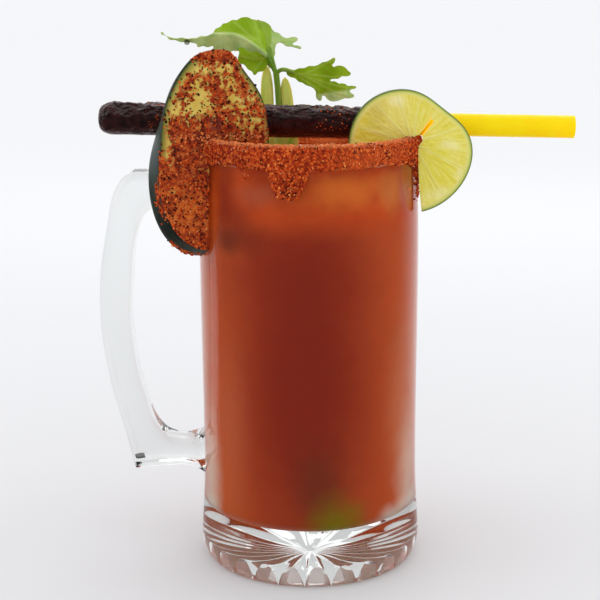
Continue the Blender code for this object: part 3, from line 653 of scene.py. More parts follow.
glass_ground = spun("glass_ground", [(45.3, 174.0 - 0.5 * step) for step in range(44)], 420)
weighed(glass_ground, "grains", on_glass)
speck = crumb("crumb", 0.42, 0.7, 9, CHILI_GRAINS)
glass_specks = strewn("glass_specks", glass_ground, speck, 2.2, 0.5, 1.7, 71, "grains")
bpy.data.objects.remove(glass_ground)
crust_pieces = [
    crust, glass_specks,
    strewn("chili_crumbs", crust, crumb("crumb", 0.45, 0.8, 3, CHILI_GRAINS), 2.0, 0.5, 1.5, 11, "grains"),
    strewn("chili_flakes", crust, crumb("flake", 0.5, 0.5, 4, DARK_FLAKES), 0.45, 0.4, 1.3, 21, "flakes"),
    strewn("rim_salt", crust, crumb("crystal", 0.3, 0.9, 5, SALT), 0.35, 0.4, 1.1, 31, "salt"),
]
for piece in crust_pieces:
    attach(piece, "root")
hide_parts("chili_rim")


# The cucumber slice is cut on the bias, so it is a long oval with a band of dark skin showing at its left.
# It is a disc spun flat, drawn out to the oval and slit where it straddles the rim.
# Its damp face is dusted with chili, thickly below and along the edges and thinly in the middle above.
CUCUMBER_LENGTH, CUCUMBER_WIDTH, CUCUMBER_THICKNESS = 81.0, 43.6, 6.5
CUCUMBER_CENTRE = Vector((-37.5, -17.0, 176.2))
CUCUMBER_TURN = math.radians(7.0)
CUCUMBER_BIAS = Vector((-4.5, 0.0, -3.6))
SLIT_KNOTS = [
    (44.7, 165.0), (44.6, 170.6), (46.0, 171.6), (46.0, 176.6), (45.8, 178.0), (45.3, 179.1), (44.4, 179.7),
    (43.2, 179.9), (42.0, 179.7), (41.2, 179.1), (40.5, 178.0), (40.2, 176.2), (40.2, 174.4), (40.4, 173.0),
    (40.5, 165.0), (40.7, 140.0), (40.7, 110.0), (45.3, 110.0), (45.3, 140.0), (44.7, 165.0),
]


def eased(share):
    """A smooth rise from 0 to 1."""
    share = max(0.0, min(1.0, share))
    return share * share * (3.0 - 2.0 * share)


def cucumber_edge(angle, front):
    """The slice's outline, an oval with a narrower, blunt top, from its front face at 1 to its back at -1."""
    share, side = math.sin(angle), max(-1.0, min(1.0, math.cos(angle) / 0.35))
    across = math.cos(angle) * CUCUMBER_WIDTH / 2 * (1.0 - 0.10 * share) + share * 3.0
    if side > 0.0:
        across -= side * 3.0 * math.exp(-(((share - 0.8) / 0.2) ** 2))
    else:
        across += side * 2.1 * eased((share + 0.1) / 0.6) * (1.0 + front) / 2
        back = 2.0 * eased((share - 0.85) / 0.15) - 1.8 * math.exp(-(((share - 0.36) / 0.3) ** 2))
        across += side * back * (1.0 - front) / 2
    return across, share * CUCUMBER_LENGTH / 2 - 1.2 * max(0.0, share) ** 12


def cucumber_point(point):
    """Puts a point of the flat disc, 10 mm in radius and 6 thick, in its place on the slice."""
    flat = from_axis(point)
    reach, front = math.hypot(flat.x, flat.y) / 10.0, flat.z / 3.0
    across, up = cucumber_edge(math.atan2(flat.y, flat.x), front)
    local = Vector((across * reach, -front * CUCUMBER_THICKNESS / 2, up * reach))
    local += CUCUMBER_BIAS * (1.0 - front) / 2
    if reach < 0.97:
        local.y -= front * 0.16 * noise.noise(Vector((local.x, local.z, 3.0 * front)) * 0.35)
    return at(CUCUMBER_CENTRE + Matrix.Rotation(CUCUMBER_TURN, 3, "Z") @ local)


def disc(name, steps, rings, edge):
    """A thick disc with softly rounded edges: 10 mm in radius and 6 mm thick, its front face up."""
    face = [(10.0 * (1.0 - edge) * ring / rings, 3.0) for ring in range(rings + 1)]
    side = [(10.0 - 3.0 * edge, 2.85), (10.0, 2.5)] + [(10.0, 2.5 - 5.0 * cut / 6) for cut in range(1, 6)]
    back = [(radius, -height) for radius, height in face[::-1]]
    return spun(name, face + side + [(10.0, -2.5), (10.0 - 3.0 * edge, -2.85)] + back, steps)


CUCUMBER_WAYS = {}
for face in (1, -1):
    edge = [cucumber_edge(math.radians(step / 2), face) for step in range(720)]
    CUCUMBER_WAYS[face] = sorted((math.atan2(up, across), math.hypot(across, up)) for across, up in edge)


def cucumber_reach(place):
    """How far a place on the slice is from its middle, as a share of the way to the skin."""
    local = Matrix.Rotation(-CUCUMBER_TURN, 3, "Z") @ (place - CUCUMBER_CENTRE)
    front = -local.y / (CUCUMBER_THICKNESS / 2)
    local -= CUCUMBER_BIAS * (1.0 - front) / 2
    way = (math.atan2(local.z, local.x), 0.0)
    ahead, behind = (ways[bisect.bisect(ways, way) % 720][1] for ways in CUCUMBER_WAYS.values())
    whole = ahead * (1.0 + front) / 2 + behind * (1.0 - front) / 2
    return math.hypot(local.x, local.z) / whole, local, front


def dusting(place):
    """How thickly chili lies on the slice: bare patches above, thick below, little on the skin."""
    reach, local, front = cucumber_reach(place)
    if front < 0.9:
        inner = eased((-10.0 - local.z) / 3.0) * eased((local.z + 29.0) / 4.0) * eased((front + 0.2) / 0.5)
        outer = eased((-32.0 - local.z) / 4.0) * eased((-0.1 - front) / 0.3)
        return (inner + outer) * (0.6 + 0.6 * noise.noise(place * 0.6)) if reach > 0.97 else 0.0
    cover = 0.88 + 0.28 * noise.noise(place * 0.2) + 0.5 * noise.noise(place * 0.6) - 0.007 * local.z
    cover += 0.5 * eased((local.z - 33.0) / 4.0)
    for x, z, wide, high, depth in (
        (-6.0, 18.0, 5.0, 7.0, 0.6), (7.0, 20.0, 3.5, 6.0, 0.4), (12.5, 10.5, 5.0, 5.5, 0.5),
        (-15.5, 16.5, 3.0, 4.0, 0.3), (0.5, 31.0, 9.0, 3.0, 0.3), (-18.0, -27.0, 2.5, 2.5, 0.25),
        (-19.0, 3.0, 2.2, 10.0, 0.45),
        (0.5, 20.0, 2.2, 9.0, -0.2), (-3.0, 5.0, 8.0, 5.0, -0.25),
    ):
        cover -= depth * math.exp(-(((local.x - x) / wide) ** 2) - ((local.z - z) / high) ** 2)
    side = eased((reach - 0.86) / 0.1) * eased((local.z + 6.0) / 8.0)
    if local.x > -7.0:
        side *= 0.7 * (1.0 - eased((local.z - 30.0) / 4.0))
    return cover - 0.6 * side


cucumber = reshaped(disc("cucumber_slice", 260, 64, 0.03), cucumber_point)
cucumber = merged(cucumber, spun("slit", SLIT_KNOTS, 256), "DIFFERENCE")
smoothed(cucumber, 40)
weighed(cucumber, "reach", lambda place: cucumber_reach(place)[0])
weighed(cucumber, "dust", dusting)
weighed(cucumber, "flecks", lambda place: dusting(place) + (0.4 if cucumber_reach(place)[2] > 0.9 else 0.0))
weighed(cucumber, "clumps", lambda place: dusting(place) * (0.55 + 1.5 * noise.noise(place * 0.8)))
material, tree, shader = principled(
    "cucumber", 0.3, IOR=1.38, Specular_IOR_Level=0.3, Subsurface_Weight=0.3, Subsurface_Scale=0.002,
)
flesh = mixed(tree, clouds(tree, 160.0, 3.0, 0.3, 0.7), rgb(210, 176, 74), rgb(224, 200, 104))
flesh = spotted(tree, flesh, -58, -21, 184, 5, 24, 18, 0.4, 0.45, rgb(96, 62, 24))
rind = ramped(
    tree, written(tree, "reach"), (0.0, (0, 0, 0, 1)), (0.86, (0, 0, 0, 1)), (0.935, (0.55, 0.55, 0.55, 1)),
    (0.975, (1, 1, 1, 1)),
)
flesh = mixed(tree, rind, flesh, rgb(72, 92, 30))
skin = mixed(tree, clouds(tree, 120.0, 3.0, 0.35, 0.7, 0.3), rgb(38, 48, 42), rgb(66, 76, 66))
# Painted shade low on the skin band, and a painted sheen at its upper left.
skin = spotted(tree, skin, -55, -22, 140, 18, 24, 26, 0.2, 0.8, rgb(24, 26, 20))
skin = spotted(tree, skin, -66, -22, 177, 14, 24, 20, 0.2, 0.75, rgb(98, 106, 106))
flesh = mixed(tree, ranged(tree, written(tree, "reach"), 0.965, 0.985, "LINEAR"), flesh, skin)
place = node(tree, "TexCoord").outputs["Object"]
grit = node(tree, "TexNoise", {"Vector": place, "Scale": 900.0, "Detail": 5.0, "Roughness": 0.65})
cover = maths(tree, "ADD", grit.outputs["Fac"], written(tree, "dust"))
stain = ramped(
    tree, clouds(tree, 420.0, 4.0, 0.25, 0.75), (0.0, rgb(104, 28, 10)), (0.45, rgb(164, 58, 18)),
    (1.0, rgb(208, 108, 42)),
)
for x, z, width, height, strength, colour in (
    (-36, 176, 17, 15, 0.4, rgb(124, 34, 12)), (-49, 152, 10, 11, 0.6, rgb(228, 122, 40)),
    (-37, 187, 4, 5, 0.75, rgb(84, 42, 44)), (-42.5, 179.5, 4, 7, 0.6, rgb(72, 26, 18)),
):
    stain = spotted(tree, stain, x, -21, z, width, 14, height, 0.9, strength, colour)
powdered = mixed(tree, ranged(tree, cover, 0.84, 1.16, "LINEAR"), flesh, stain)
tree.links.new(powdered, shader.inputs["Base Color"])
bumped(tree, shader, clouds(tree, 900.0, 3.0, 0.3, 0.7), 0.35, 0.2)
cucumber.data.materials.clear()
cucumber.data.materials.append(material)
crumbs, flakes = crumb("crumb", 0.42, 0.7, 6, CHILI_GRAINS), crumb("flake", 0.45, 0.55, 7, DARK_FLAKES)
cucumber_pieces = [
    cucumber,
    strewn("cucumber_chili", cucumber, crumbs, 2.6, 0.35, 1.6, 41, "clumps"),
    strewn("cucumber_flakes", cucumber, flakes, 0.34, 0.6, 1.8, 51, "flecks"),
]
for piece in cucumber_pieces:
    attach(piece, "root")
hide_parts("cucumber_slice")


# The lime wheel is a thin slice, slit to its middle and pushed over the rim at the right.
# It is a spun disc, with its thin membranes standing between sunken wedges of pulp.
# Its skin, pith and pulp are told apart by how far a place lies from the middle.
LIME_RADIUS, LIME_THICKNESS = 25.0, 4.0
LIME_CENTRE = Vector((40.8, -13.2, 174.4))
LIME_HEART = Vector((0.8, 0.0, 3.2))  # where the membranes meet, from the wheel's middle
LIME_SLIT = [  # wider than the glass outside, with a gap beside the crust's top
    (47.0, 158.0), (46.3, 170.0), (46.2, 171.6), (46.4, 176.4), (47.9, 178.2), (47.9, 180.2), (46.6, 181.0),
    (44.9, 180.2), (44.4, 179.75), *SLIT_KNOTS[7:17], (50.5, 110.0), (47.9, 150.0), (47.0, 158.0),
]
LIME_CUT = Vector((46.95, -13.2, 183.5))  # the middle of the short cut that runs on towards the skin
LIME_CUT_TURN = math.radians(52.0)
LIME_WEDGES = [18, 52, 82, 108, 134, 163, 196, 232, 268, 300, 334]


def lime_radius(angle):
    """The wheel's radius at an angle: a little flat at its upper right and full at its upper left."""
    flat = 3.8 * math.exp(-(((angle - math.radians(50.0)) / 0.56) ** 2))
    full = 0.9 * math.exp(-(((angle - math.radians(135.0)) / 0.55) ** 2))
    return LIME_RADIUS - flat + full + 0.25 * math.sin(3.0 * angle + 0.6)


def lime_facts(place):
    """How far out a place on the wheel is, its nearness to a membrane, and which way it lies."""
    local = place - LIME_CENTRE
    reach = math.hypot(local.x, local.z) / lime_radius(math.atan2(local.z, local.x))
    spoke = local - LIME_HEART
    turn = math.degrees(math.atan2(spoke.z, spoke.x)) % 360.0
    away = min(abs((turn - wedge + 180.0) % 360.0 - 180.0) for wedge in LIME_WEDGES)
    run = math.hypot(spoke.x, spoke.z)
    return reach, math.exp(-((run * math.radians(away) / 0.38) ** 2)), run


def in_cut(place):
    """1 on the faces of the short cut and 0 elsewhere."""
    away = place - LIME_CUT
    along = away.x * math.cos(LIME_CUT_TURN) + away.z * math.sin(LIME_CUT_TURN)
    across = away.z * math.cos(LIME_CUT_TURN) - away.x * math.sin(LIME_CUT_TURN)
    return 1.0 if abs(across) < 0.7 and abs(along) < 4.0 else 0.0


def lime_point(point):
    """Puts a point of the flat disc in its place on the wheel and sinks the pulp between the membranes."""
    flat = from_axis(point)
    angle, reach, front = math.atan2(flat.y, flat.x), math.hypot(flat.x, flat.y) / 10.0, flat.z / 3.0
    out = Vector((math.cos(angle), 0.0, math.sin(angle))) * lime_radius(angle) * reach
    place = LIME_CENTRE + out + Vector((0.0, -front * LIME_THICKNESS / 2, 0.0))
    share, membrane, run = lime_facts(place)
    if share < 0.9 and abs(front) > 0.9:
        pulp = (1.0 - membrane) * min(1.0, (0.9 - share) / 0.05) * min(1.0, run / 3.0)
        place.y += math.copysign(0.16 * pulp * (1.0 + noise.noise(place * 0.8)), front)
    return at(place)


lime = reshaped(disc("lime_wheel", 400, 80, 0.025), lime_point)
lime = merged(lime, spun("slit", LIME_SLIT, 256), "DIFFERENCE")
bpy.ops.object.select_all(action="DESELECT")
bpy.ops.mesh.primitive_cube_add(size=1.0)
wedge = bpy.context.object
wedge.scale = (7.8 * MM, 12.0 * MM, 1.2 * MM)
wedge.rotation_euler.y = -LIME_CUT_TURN
wedge.location = at(LIME_CUT)
bpy.ops.object.transform_apply()
lime = merged(lime, wedge, "DIFFERENCE")
smoothed(lime, 40)
weighed(lime, "reach", lambda place: lime_facts(place)[0])
weighed(lime, "membrane", lambda place: lime_facts(place)[1])
weighed(lime, "slit", in_cut)
material, tree, shader = principled(
    "lime", 0.2, IOR=1.38, Specular_IOR_Level=0.35, Subsurface_Weight=0.3, Subsurface_Scale=0.003,
    Subsurface_Radius=(1.0, 0.9, 0.3), Emission_Color=rgb(255, 176, 20),
)
place = node(tree, "TexCoord").outputs["Object"]
from_heart = vectors(tree, "SUBTRACT", place, at(LIME_CENTRE + LIME_HEART))
far_out = node(tree, "VectorMath", {0: from_heart, "Scale": 120.0}, operation="SCALE").outputs["Vector"]
way = vectors(tree, "NORMALIZE", from_heart)
drawn = vectors(tree, "MULTIPLY_ADD", way, (18.0, 0.0, 18.0), far_out)
streaks = node(tree, "TexNoise", {"Vector": drawn, "Scale": 1.0, "Detail": 3.0}).outputs["Fac"]
pulp = ramped(
    tree, streaks, (0.3, rgb(226, 212, 66)), (0.5, rgb(232, 222, 90)), (0.62, rgb(236, 230, 116)),
    (0.75, rgb(242, 236, 152)),
)
pulp = mixed(tree, scaled(tree, clouds(tree, 60.0, 2.0, 0.4, 0.7), 0.5), pulp, rgb(240, 232, 140))
# Paler patches in the pulp, and at its upper left a darker olive one: painted shade where the dark coat
# behind shows through.
for x, z, width, height, strength, colour in (
    (35, 195, 6, 5, 0.6, rgb(248, 244, 204)), (56.5, 176.7, 7, 3, 0.6, rgb(246, 242, 190)),
    (61, 165, 4, 6, 0.5, rgb(246, 244, 200)), (53, 156.5, 8, 5, 0.5, rgb(246, 244, 190)),
    (27, 190, 7, 9, 0.45, rgb(196, 178, 92)), (46, 193, 5, 5, 0.5, rgb(226, 212, 60)),
):
    pulp = spotted(tree, pulp, x, LIME_CENTRE.y, z, width, 9, height, 0.9, strength, colour)
pulp = mixed(tree, scaled(tree, written(tree, "membrane"), 0.35), pulp, rgb(228, 228, 164))
rim = ramped(
    tree, written(tree, "reach"), (0.0, (0, 0, 0, 1)), (0.895, (0, 0, 0, 1)), (0.93, (1, 1, 1, 1)),
    (1.0, (1, 1, 1, 1)),
)
edge = ramped(
    tree, written(tree, "reach"), (0.0, rgb(228, 222, 122)), (0.94, rgb(226, 222, 130)),
    (0.965, rgb(196, 204, 104)), (0.984, rgb(128, 148, 62)), (0.995, rgb(66, 88, 40)),
)
edge = mixed(tree, rim, pulp, edge)
# The cut's faces are painted the straw's yellow and glow: painted light standing in for the straw seen
# through the cut.
slit = written(tree, "slit")  # the yellow straw behind shines through the cut
tree.links.new(mixed(tree, slit, edge, rgb(255, 190, 20)), shader.inputs["Base Color"])
tree.links.new(scaled(tree, slit, 0.5), shader.inputs["Emission Strength"])
bumped(tree, shader, streaks, 0.5, 0.5)
lime.data.materials.clear()
lime.data.materials.append(material)
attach(lime, "root")
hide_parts("lime_wheel")


# The straw is a wide yellow plastic tube that lies across the rim, a little lower at its open end.
# It is a thin wall with a rounded end, spun upright and then laid along the straw's line.
STRAW_OUTSIDE, STRAW_WALL = 4.6, 0.4
STRAW_START, STRAW_END = 19.0, 107.9
STRAW_SLOPE = math.radians(1.41)


def laid(point):
    """Lays a piece that was spun upright along the straw's line, its foot end to the left."""
    upright = Vector((point.x - AXIS_X, point.y, point.z))
    return STRAW_MIDDLE + Matrix.Rotation(math.pi / 2 + STRAW_SLOPE, 3, "Y") @ upright


TUBE_INSIDE, TUBE_CUTS = STRAW_OUTSIDE - STRAW_WALL, 24
TUBE_STEP = (STRAW_END - 0.1 - STRAW_START) / TUBE_CUTS
tube = [
    (TUBE_INSIDE, STRAW_START), (STRAW_OUTSIDE, STRAW_START),
    *((STRAW_OUTSIDE, STRAW_START + TUBE_STEP * cut) for cut in range(1, TUBE_CUTS + 1)),
    (STRAW_OUTSIDE - 0.1, STRAW_END), (TUBE_INSIDE + 0.1, STRAW_END),
    *((TUBE_INSIDE, STRAW_END - 0.1 - TUBE_STEP * cut) for cut in range(TUBE_CUTS + 1)),
]
straw = reshaped(spun("yellow_straw", tube, 96), laid)
smoothed(straw, 40)
# The plastic glows faintly: painted light that lifts its shaded lower side.
material, tree, shader = principled(
    "yellow plastic", 0.25, IOR=1.46, Specular_IOR_Level=0.2, Subsurface_Weight=0.6, Subsurface_Scale=0.004,
    Emission_Color=rgb(255, 206, 0), Emission_Strength=0.12,
)
shade = mixed(tree, clouds(tree, 90.0, 2.0, 0.3, 0.7, 0.2), rgb(255, 208, 0), rgb(255, 216, 10))
tree.links.new(shade, shader.inputs["Base Color"])
bumped(tree, shader, clouds(tree, 260.0, 2.0, 0.3, 0.7), 0.08, 0.1)
straw.data.materials.append(material)
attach(straw, "root")
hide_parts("straw")


# A thick coat of dark tamarind paste is rolled on the straw's left part, sticky and shining.
# It is spun round the straw and wrinkled: deeply along its top, hardly where it lies on the crust.
COAT_RADIUS, COAT_START, COAT_END = 6.5, -85.2, 22.5


def coated(point):
    """Wrinkles the coat and lays it along the straw's line."""
    place = from_axis(point)
    radius = math.hypot(place.x, place.y)
    if radius > 5.0:
        above = 0.5 - 0.5 * place.x / radius
        rough = noise.noise(Vector((place.x, place.y, place.z * 0.6)) * 0.33)
        fold = 1.0 - abs(noise.noise(Vector((place.x * 0.5, place.y * 0.5, place.z * 0.28)))) * 2.0
        fine = noise.noise(Vector((place.x, place.y, place.z * 0.5)) * 1.4)
        change = (0.12 + 0.75 * above) * rough + 0.55 * above**3 * (fold - 0.6)
        change += (0.05 + 0.22 * above**3) * fine
        point.x = AXIS_X + place.x * (1 + change / radius) * MM
        point.y = place.y * (1 + change / radius) * MM
    return laid(point)


COAT_CUTS = 300
COAT_STEP = (COAT_END - 3.0 - COAT_START - 5.0) / COAT_CUTS
coat_outline = [
    (0.0, STRAW_START + 0.02), (STRAW_OUTSIDE - 0.05, STRAW_START + 0.02),
    (STRAW_OUTSIDE - 0.05, COAT_END - 0.3),
    (COAT_RADIUS - 1.5, COAT_END), (COAT_RADIUS - 0.7, COAT_END - 0.3), (COAT_RADIUS - 0.2, COAT_END - 1.2),
    *((COAT_RADIUS, COAT_END - 3.0 - COAT_STEP * cut) for cut in range(COAT_CUTS + 1)),
    *((COAT_RADIUS - inward, COAT_START + rise) for inward, rise in (
        (0.4, 3.4), (0.9, 2.2), (1.7, 1.2), (2.6, 0.6), (4.4, 0.15), (COAT_RADIUS, 0.0),
    )),
]
coat = spun("tamarind_coat", coat_outline, 128)
coat = reshaped(coat, coated)
smoothed(coat, 60)
material, tree, shader = principled(
    "tamarind paste", 0.25, IOR=1.45, Specular_IOR_Level=0.25, Coat_Weight=0.45, Coat_Roughness=0.03,
)
shade = mixed(tree, clouds(tree, 300.0, 3.0, 0.35, 0.65), rgb(50, 26, 26), rgb(24, 13, 16))
tree.links.new(shade, shader.inputs["Base Color"])
bumped(tree, shader, clouds(tree, 480.0, 4.0, 0.3, 0.7, 1.0), 0.9, 0.4)
for name in ("Coat Tint", "Specular Tint"):
    shader.inputs[name].default_value = rgb(255, 214, 206)
tree.links.new(shader.inputs["Normal"].links[0].from_socket, shader.inputs["Coat Normal"])
coat.data.materials.append(material)


def coat_grains(place):
    """Chili sticks to the coat beside the two slices."""
    ends = math.exp(-((place.x + 60.0) / 6.0) ** 2) + 0.8 * math.exp(-((place.x - 12.0) / 6.0) ** 2)
    return ends * (0.35 + noise.noise(place * 0.4)) if place.z > 182.0 else 0.0


weighed(coat, "grains", coat_grains)
stuck = crumb("crumb", 0.4, 0.75, 8, CHILI_GRAINS)
coat_chili = strewn("coat_chili", coat, stuck, 1.2, 0.4, 1.0, 61, "grains")
for piece in (coat, coat_chili):
    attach(piece, "root")
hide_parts("tamarind_coat")


# A stalk of celery stands in the drink, ribbed outside and hollow towards the front, torn at its top.
# Its section is drawn from a circle and extruded up along the stalk's lean.
# Two torn rib ends, three stems and the lobed leaves rise from it.
STALK_FOOT, STALK_TOP = Vector((12.0, -28.0, 24.0)), Vector((-12.6, 14.0, 190.0))
STALK_WIDTH, STALK_DEPTH, STALK_WALL = 12.4, 8.4, 2.4
LEAF_NODE = Vector((-13.3, 15.0, 204.5))
DROP_PLACE = Vector((-36.2, -6.8, 12.4))  # a drop of water, from where the stems part


def stalk_section(point):
    """Shapes a unit circle into the stalk's section: a ribbed back and a groove towards the front."""
    angle = math.atan2(point.y, point.x)
    half, deep = STALK_WIDTH / 2, STALK_DEPTH / 2
    if angle < 0.0:
        half, deep = half - STALK_WALL, deep - STALK_WALL
        angle = -angle
        rib = 0.0
    else:
        rib = 0.16 * math.cos(angle * 22.0)
    return at(STALK_FOOT + Vector(((half + rib) * math.cos(angle), (deep + rib) * math.sin(angle), 0.0)))


bpy.ops.object.select_all(action="DESELECT")
bpy.ops.mesh.primitive_circle_add(vertices=160, radius=1.0, fill_type="NGON")
stalk = bpy.context.object
stalk.name = stalk.data.name = "celery_stalk"
reshaped(stalk, stalk_section)
bpy.ops.object.mode_set(mode="EDIT")
bpy.ops.mesh.select_all(action="SELECT")
for lift in range(24):
    bpy.ops.mesh.extrude_region_move(TRANSFORM_OT_translate={"value": (STALK_TOP - STALK_FOOT) * MM / 24})
bpy.ops.mesh.select_all(action="SELECT")
bpy.ops.mesh.normals_make_consistent(inside=False)
bpy.ops.object.mode_set(mode="OBJECT")
smoothed(stalk, 50)


def pointed(name, foot, tip, size):
    """A torn rib end: a cone cut into rings, flattened and bellied on its way up to a point."""
    bpy.ops.object.select_all(action="DESELECT")
    bpy.ops.mesh.primitive_cone_add(vertices=24, radius1=1.0, radius2=0.14, depth=1.0)
    piece = bpy.context.object
    piece.name = piece.data.name = name
    bpy.ops.object.mode_set(mode="EDIT")
    for cut in range(1, 16):
        bpy.ops.mesh.select_all(action="SELECT")
        bpy.ops.mesh.bisect(plane_co=(0, 0, cut / 16 - 0.5), plane_no=(0, 0, 1))
    bpy.ops.object.mode_set(mode="OBJECT")
    for point in piece.data.vertices:
        rise = point.co.z + 0.5
        belly = (1.0 - rise**4) ** 0.6 / (1.0 - 0.86 * rise)
        middle = foot.lerp(tip, rise)
        ridge = 1.0 + 0.06 * math.cos(8.0 * math.atan2(point.co.y, point.co.x))
        wide, deep = point.co.x * size * belly * ridge, point.co.y * size * 0.5 * belly
        point.co = at(middle + Vector((wide, deep, 0.0)))
    smoothed(piece, 60)
    return piece


def stem(name, points, thick):
    """A thin leaf stem through its points, as a round curve."""
    piece = traced(
        name, [at(point) for point in points], [False] * len(points), False,
        dimensions="3D", bevel_depth=thick * MM, bevel_resolution=5, use_fill_caps=True,
    )
    smoothed(piece, 60)
    return piece


def arch_depth(x, z):
    """The big leaf folds along a line nearest the viewer, and rises and hangs away from it."""
    fold = 7.0 + 8.5 * math.sin(min(1.0, (-4.0 - x) / 16.0) * math.pi / 2) if x < -4.0 else 7.0
    away = z - fold
    near = -1.0 - 7.0 * math.sin(min(1.0, max(0.0, -x / 30.0)) * math.pi / 2)
    return near + (1.0 * away if away > 0 else -0.6 * away) + 0.5 * math.sin(x * 0.7)


def lobe_depth(x, z):
    """The small leaf at the left comes forward along its length."""
    return -0.5 + 0.25 * (x + 3.0) + 0.6 * math.sin(z * 0.6)


def fold_depth(x, z):
    """The leaf behind the big one leans back."""
    return 0.55 * max(0.0, z - 3.0) + 0.5 * math.sin(z * 0.5)


def right_depth(x, z):
    """The leaf at the right goes back along its length, in waves."""
    return -0.5 + 0.2 * (x - 5.0) + 1.1 * math.sin(x * 0.4)


def vein_nearness(x, z, veins):
    """How near a place on a leaf is to one of its veins, each a line of (x, z) points."""
    best = 9.0
    for line in veins:
        for (ax, az), (bx, bz) in zip(line, line[1:]):
            run = (bx - ax) ** 2 + (bz - az) ** 2
            share = max(0.0, min(1.0, ((x - ax) * (bx - ax) + (z - az) * (bz - az)) / run))
            best = min(best, math.hypot(x - ax - share * (bx - ax), z - az - share * (bz - az)))
    return math.exp(-((best / 0.42) ** 2))


def toothed(outline, seed):
    """Adds small rounded teeth along an outline's longer runs."""
    draw = random.Random(seed)
    points = []
    for (ax, az), (bx, bz) in zip(outline, outline[1:] + outline[:1]):
        points.append((ax, az))
        run = math.hypot(bx - ax, bz - az)
        cuts = int(run / 1.7)
        for cut in range(1, cuts):
            share = (cut + draw.uniform(-0.2, 0.2)) / cuts
            lift = (0.28 if cut % 2 else -0.22) * draw.uniform(0.6, 1.3)
            points.append((
                ax + (bx - ax) * share - (bz - az) / run * lift,
                az + (bz - az) * share + (bx - ax) / run * lift,
            ))
    return points


def blade(name, outline, veins, depth_rule, under_rule):
    """A lobed leaf: its outline is filled, cut into a fine net, bent, and given its thickness."""
    piece = traced(
        name, [(x, z, 0) for x, z in outline], [False] * len(outline), True,
        dimensions="2D", fill_mode="BOTH", resolution_u=5,
    )
    bpy.ops.object.mode_set(mode="EDIT")
    for axis, side in ((0, (1, 0, 0)), (1, (0, 1, 0))):
        low, high = min(point[axis] for point in outline), max(point[axis] for point in outline)
        for cut in range(1, int((high - low) / 0.6) + 1):
            bpy.ops.mesh.select_all(action="SELECT")
            bpy.ops.mesh.bisect(plane_co=Vector(side) * (low + cut * 0.6), plane_no=side)
    bpy.ops.mesh.select_all(action="SELECT")
    bpy.ops.mesh.remove_doubles(threshold=0.02)
    bpy.ops.object.mode_set(mode="OBJECT")
    vein = piece.data.attributes.new("vein", "FLOAT", "POINT").data
    under = piece.data.attributes.new("under", "FLOAT", "POINT").data
    for point, line, side in zip(piece.data.vertices, vein, under):
        x, z = point.co.x, point.co.y
        line.value = vein_nearness(x, z, veins)
        side.value = max(0.0, min(1.0, under_rule(x, z)))
        ripple = 0.25 * noise.noise(Vector((x * 0.35, z * 0.35, 4.0))) - 0.12 * line.value
        point.co = at(LEAF_NODE + Vector((x, depth_rule(x, z) + ripple, z)))
    applied(piece, "SOLIDIFY", thickness=0.45 * MM, offset=0.0)
    bpy.ops.object.mode_set(mode="EDIT")
    bpy.ops.mesh.select_all(action="SELECT")
    bpy.ops.mesh.normals_make_consistent(inside=False)
    bpy.ops.object.mode_set(mode="OBJECT")
    smoothed(piece, 55)
    return piece


ARCH = [
    (-3.4, 7.0), (-4.5, 14.7), (-8.1, 20.5), (-11.6, 21.9), (-14.4, 21.7), (-21.4, 19.5), (-27.0, 15.2),
    (-34.1, 13.9), (-42.5, 14.2), (-46.6, 16.3), (-43.3, 13.5), (-36.9, 12.5), (-32.3, 11.5), (-32.0, 10.5),
    (-25.6, 10.5), (-28.5, 7.3), (-23.5, 7.7), (-15.8, 8.6), (-11.6, 8.6), (-7.4, 7.3), (-3.6, 6.0),
]
LOBE = [
    (-3.6, 7.2), (-10.0, 9.6), (-15.1, 9.6), (-15.4, 3.9), (-13.0, 2.8), (-11.6, 1.1), (-8.8, -1.4),
    (-7.4, -0.3), (-4.9, 0.4), (-2.6, 3.5),
]
FOLD = [
    (-8.1, 20.5), (-3.8, 19.5), (-0.3, 15.7), (4.6, 13.2), (8.4, 13.5), (9.2, 12.9), (7.1, 10.8), (10.6, 9.3),
    (6.2, 10.0), (1.0, 11.5), (-0.3, 9.1), (-0.7, 3.5), (-1.7, 1.1), (-3.8, 2.8), (-4.8, 10.7),
]
RIGHT = [
    (4.6, 0.2), (11.6, 1.2), (17.9, 2.5), (22.9, 4.5), (24.6, 5.1), (23.6, 1.8), (28.2, 1.6), (31.2, -1.7),
    (22.7, -4.2), (33.6, -7.3), (30.8, -8.6), (32.7, -10.9), (27.0, -12.3), (22.9, -12.8), (19.7, -10.4),
    (18.5, -12.6), (16.9, -11.4), (16.6, -8.6), (15.1, -6.9), (10.9, -4.8), (4.6, -1.4),
]


def arch_under(x, z):
    """The big leaf shows its underside below its fold."""
    return (7.8 + 8.6 * math.sin(min(1.0, max(0.0, -4.0 - x) / 16.0) * math.pi / 2) - z) * 2.5


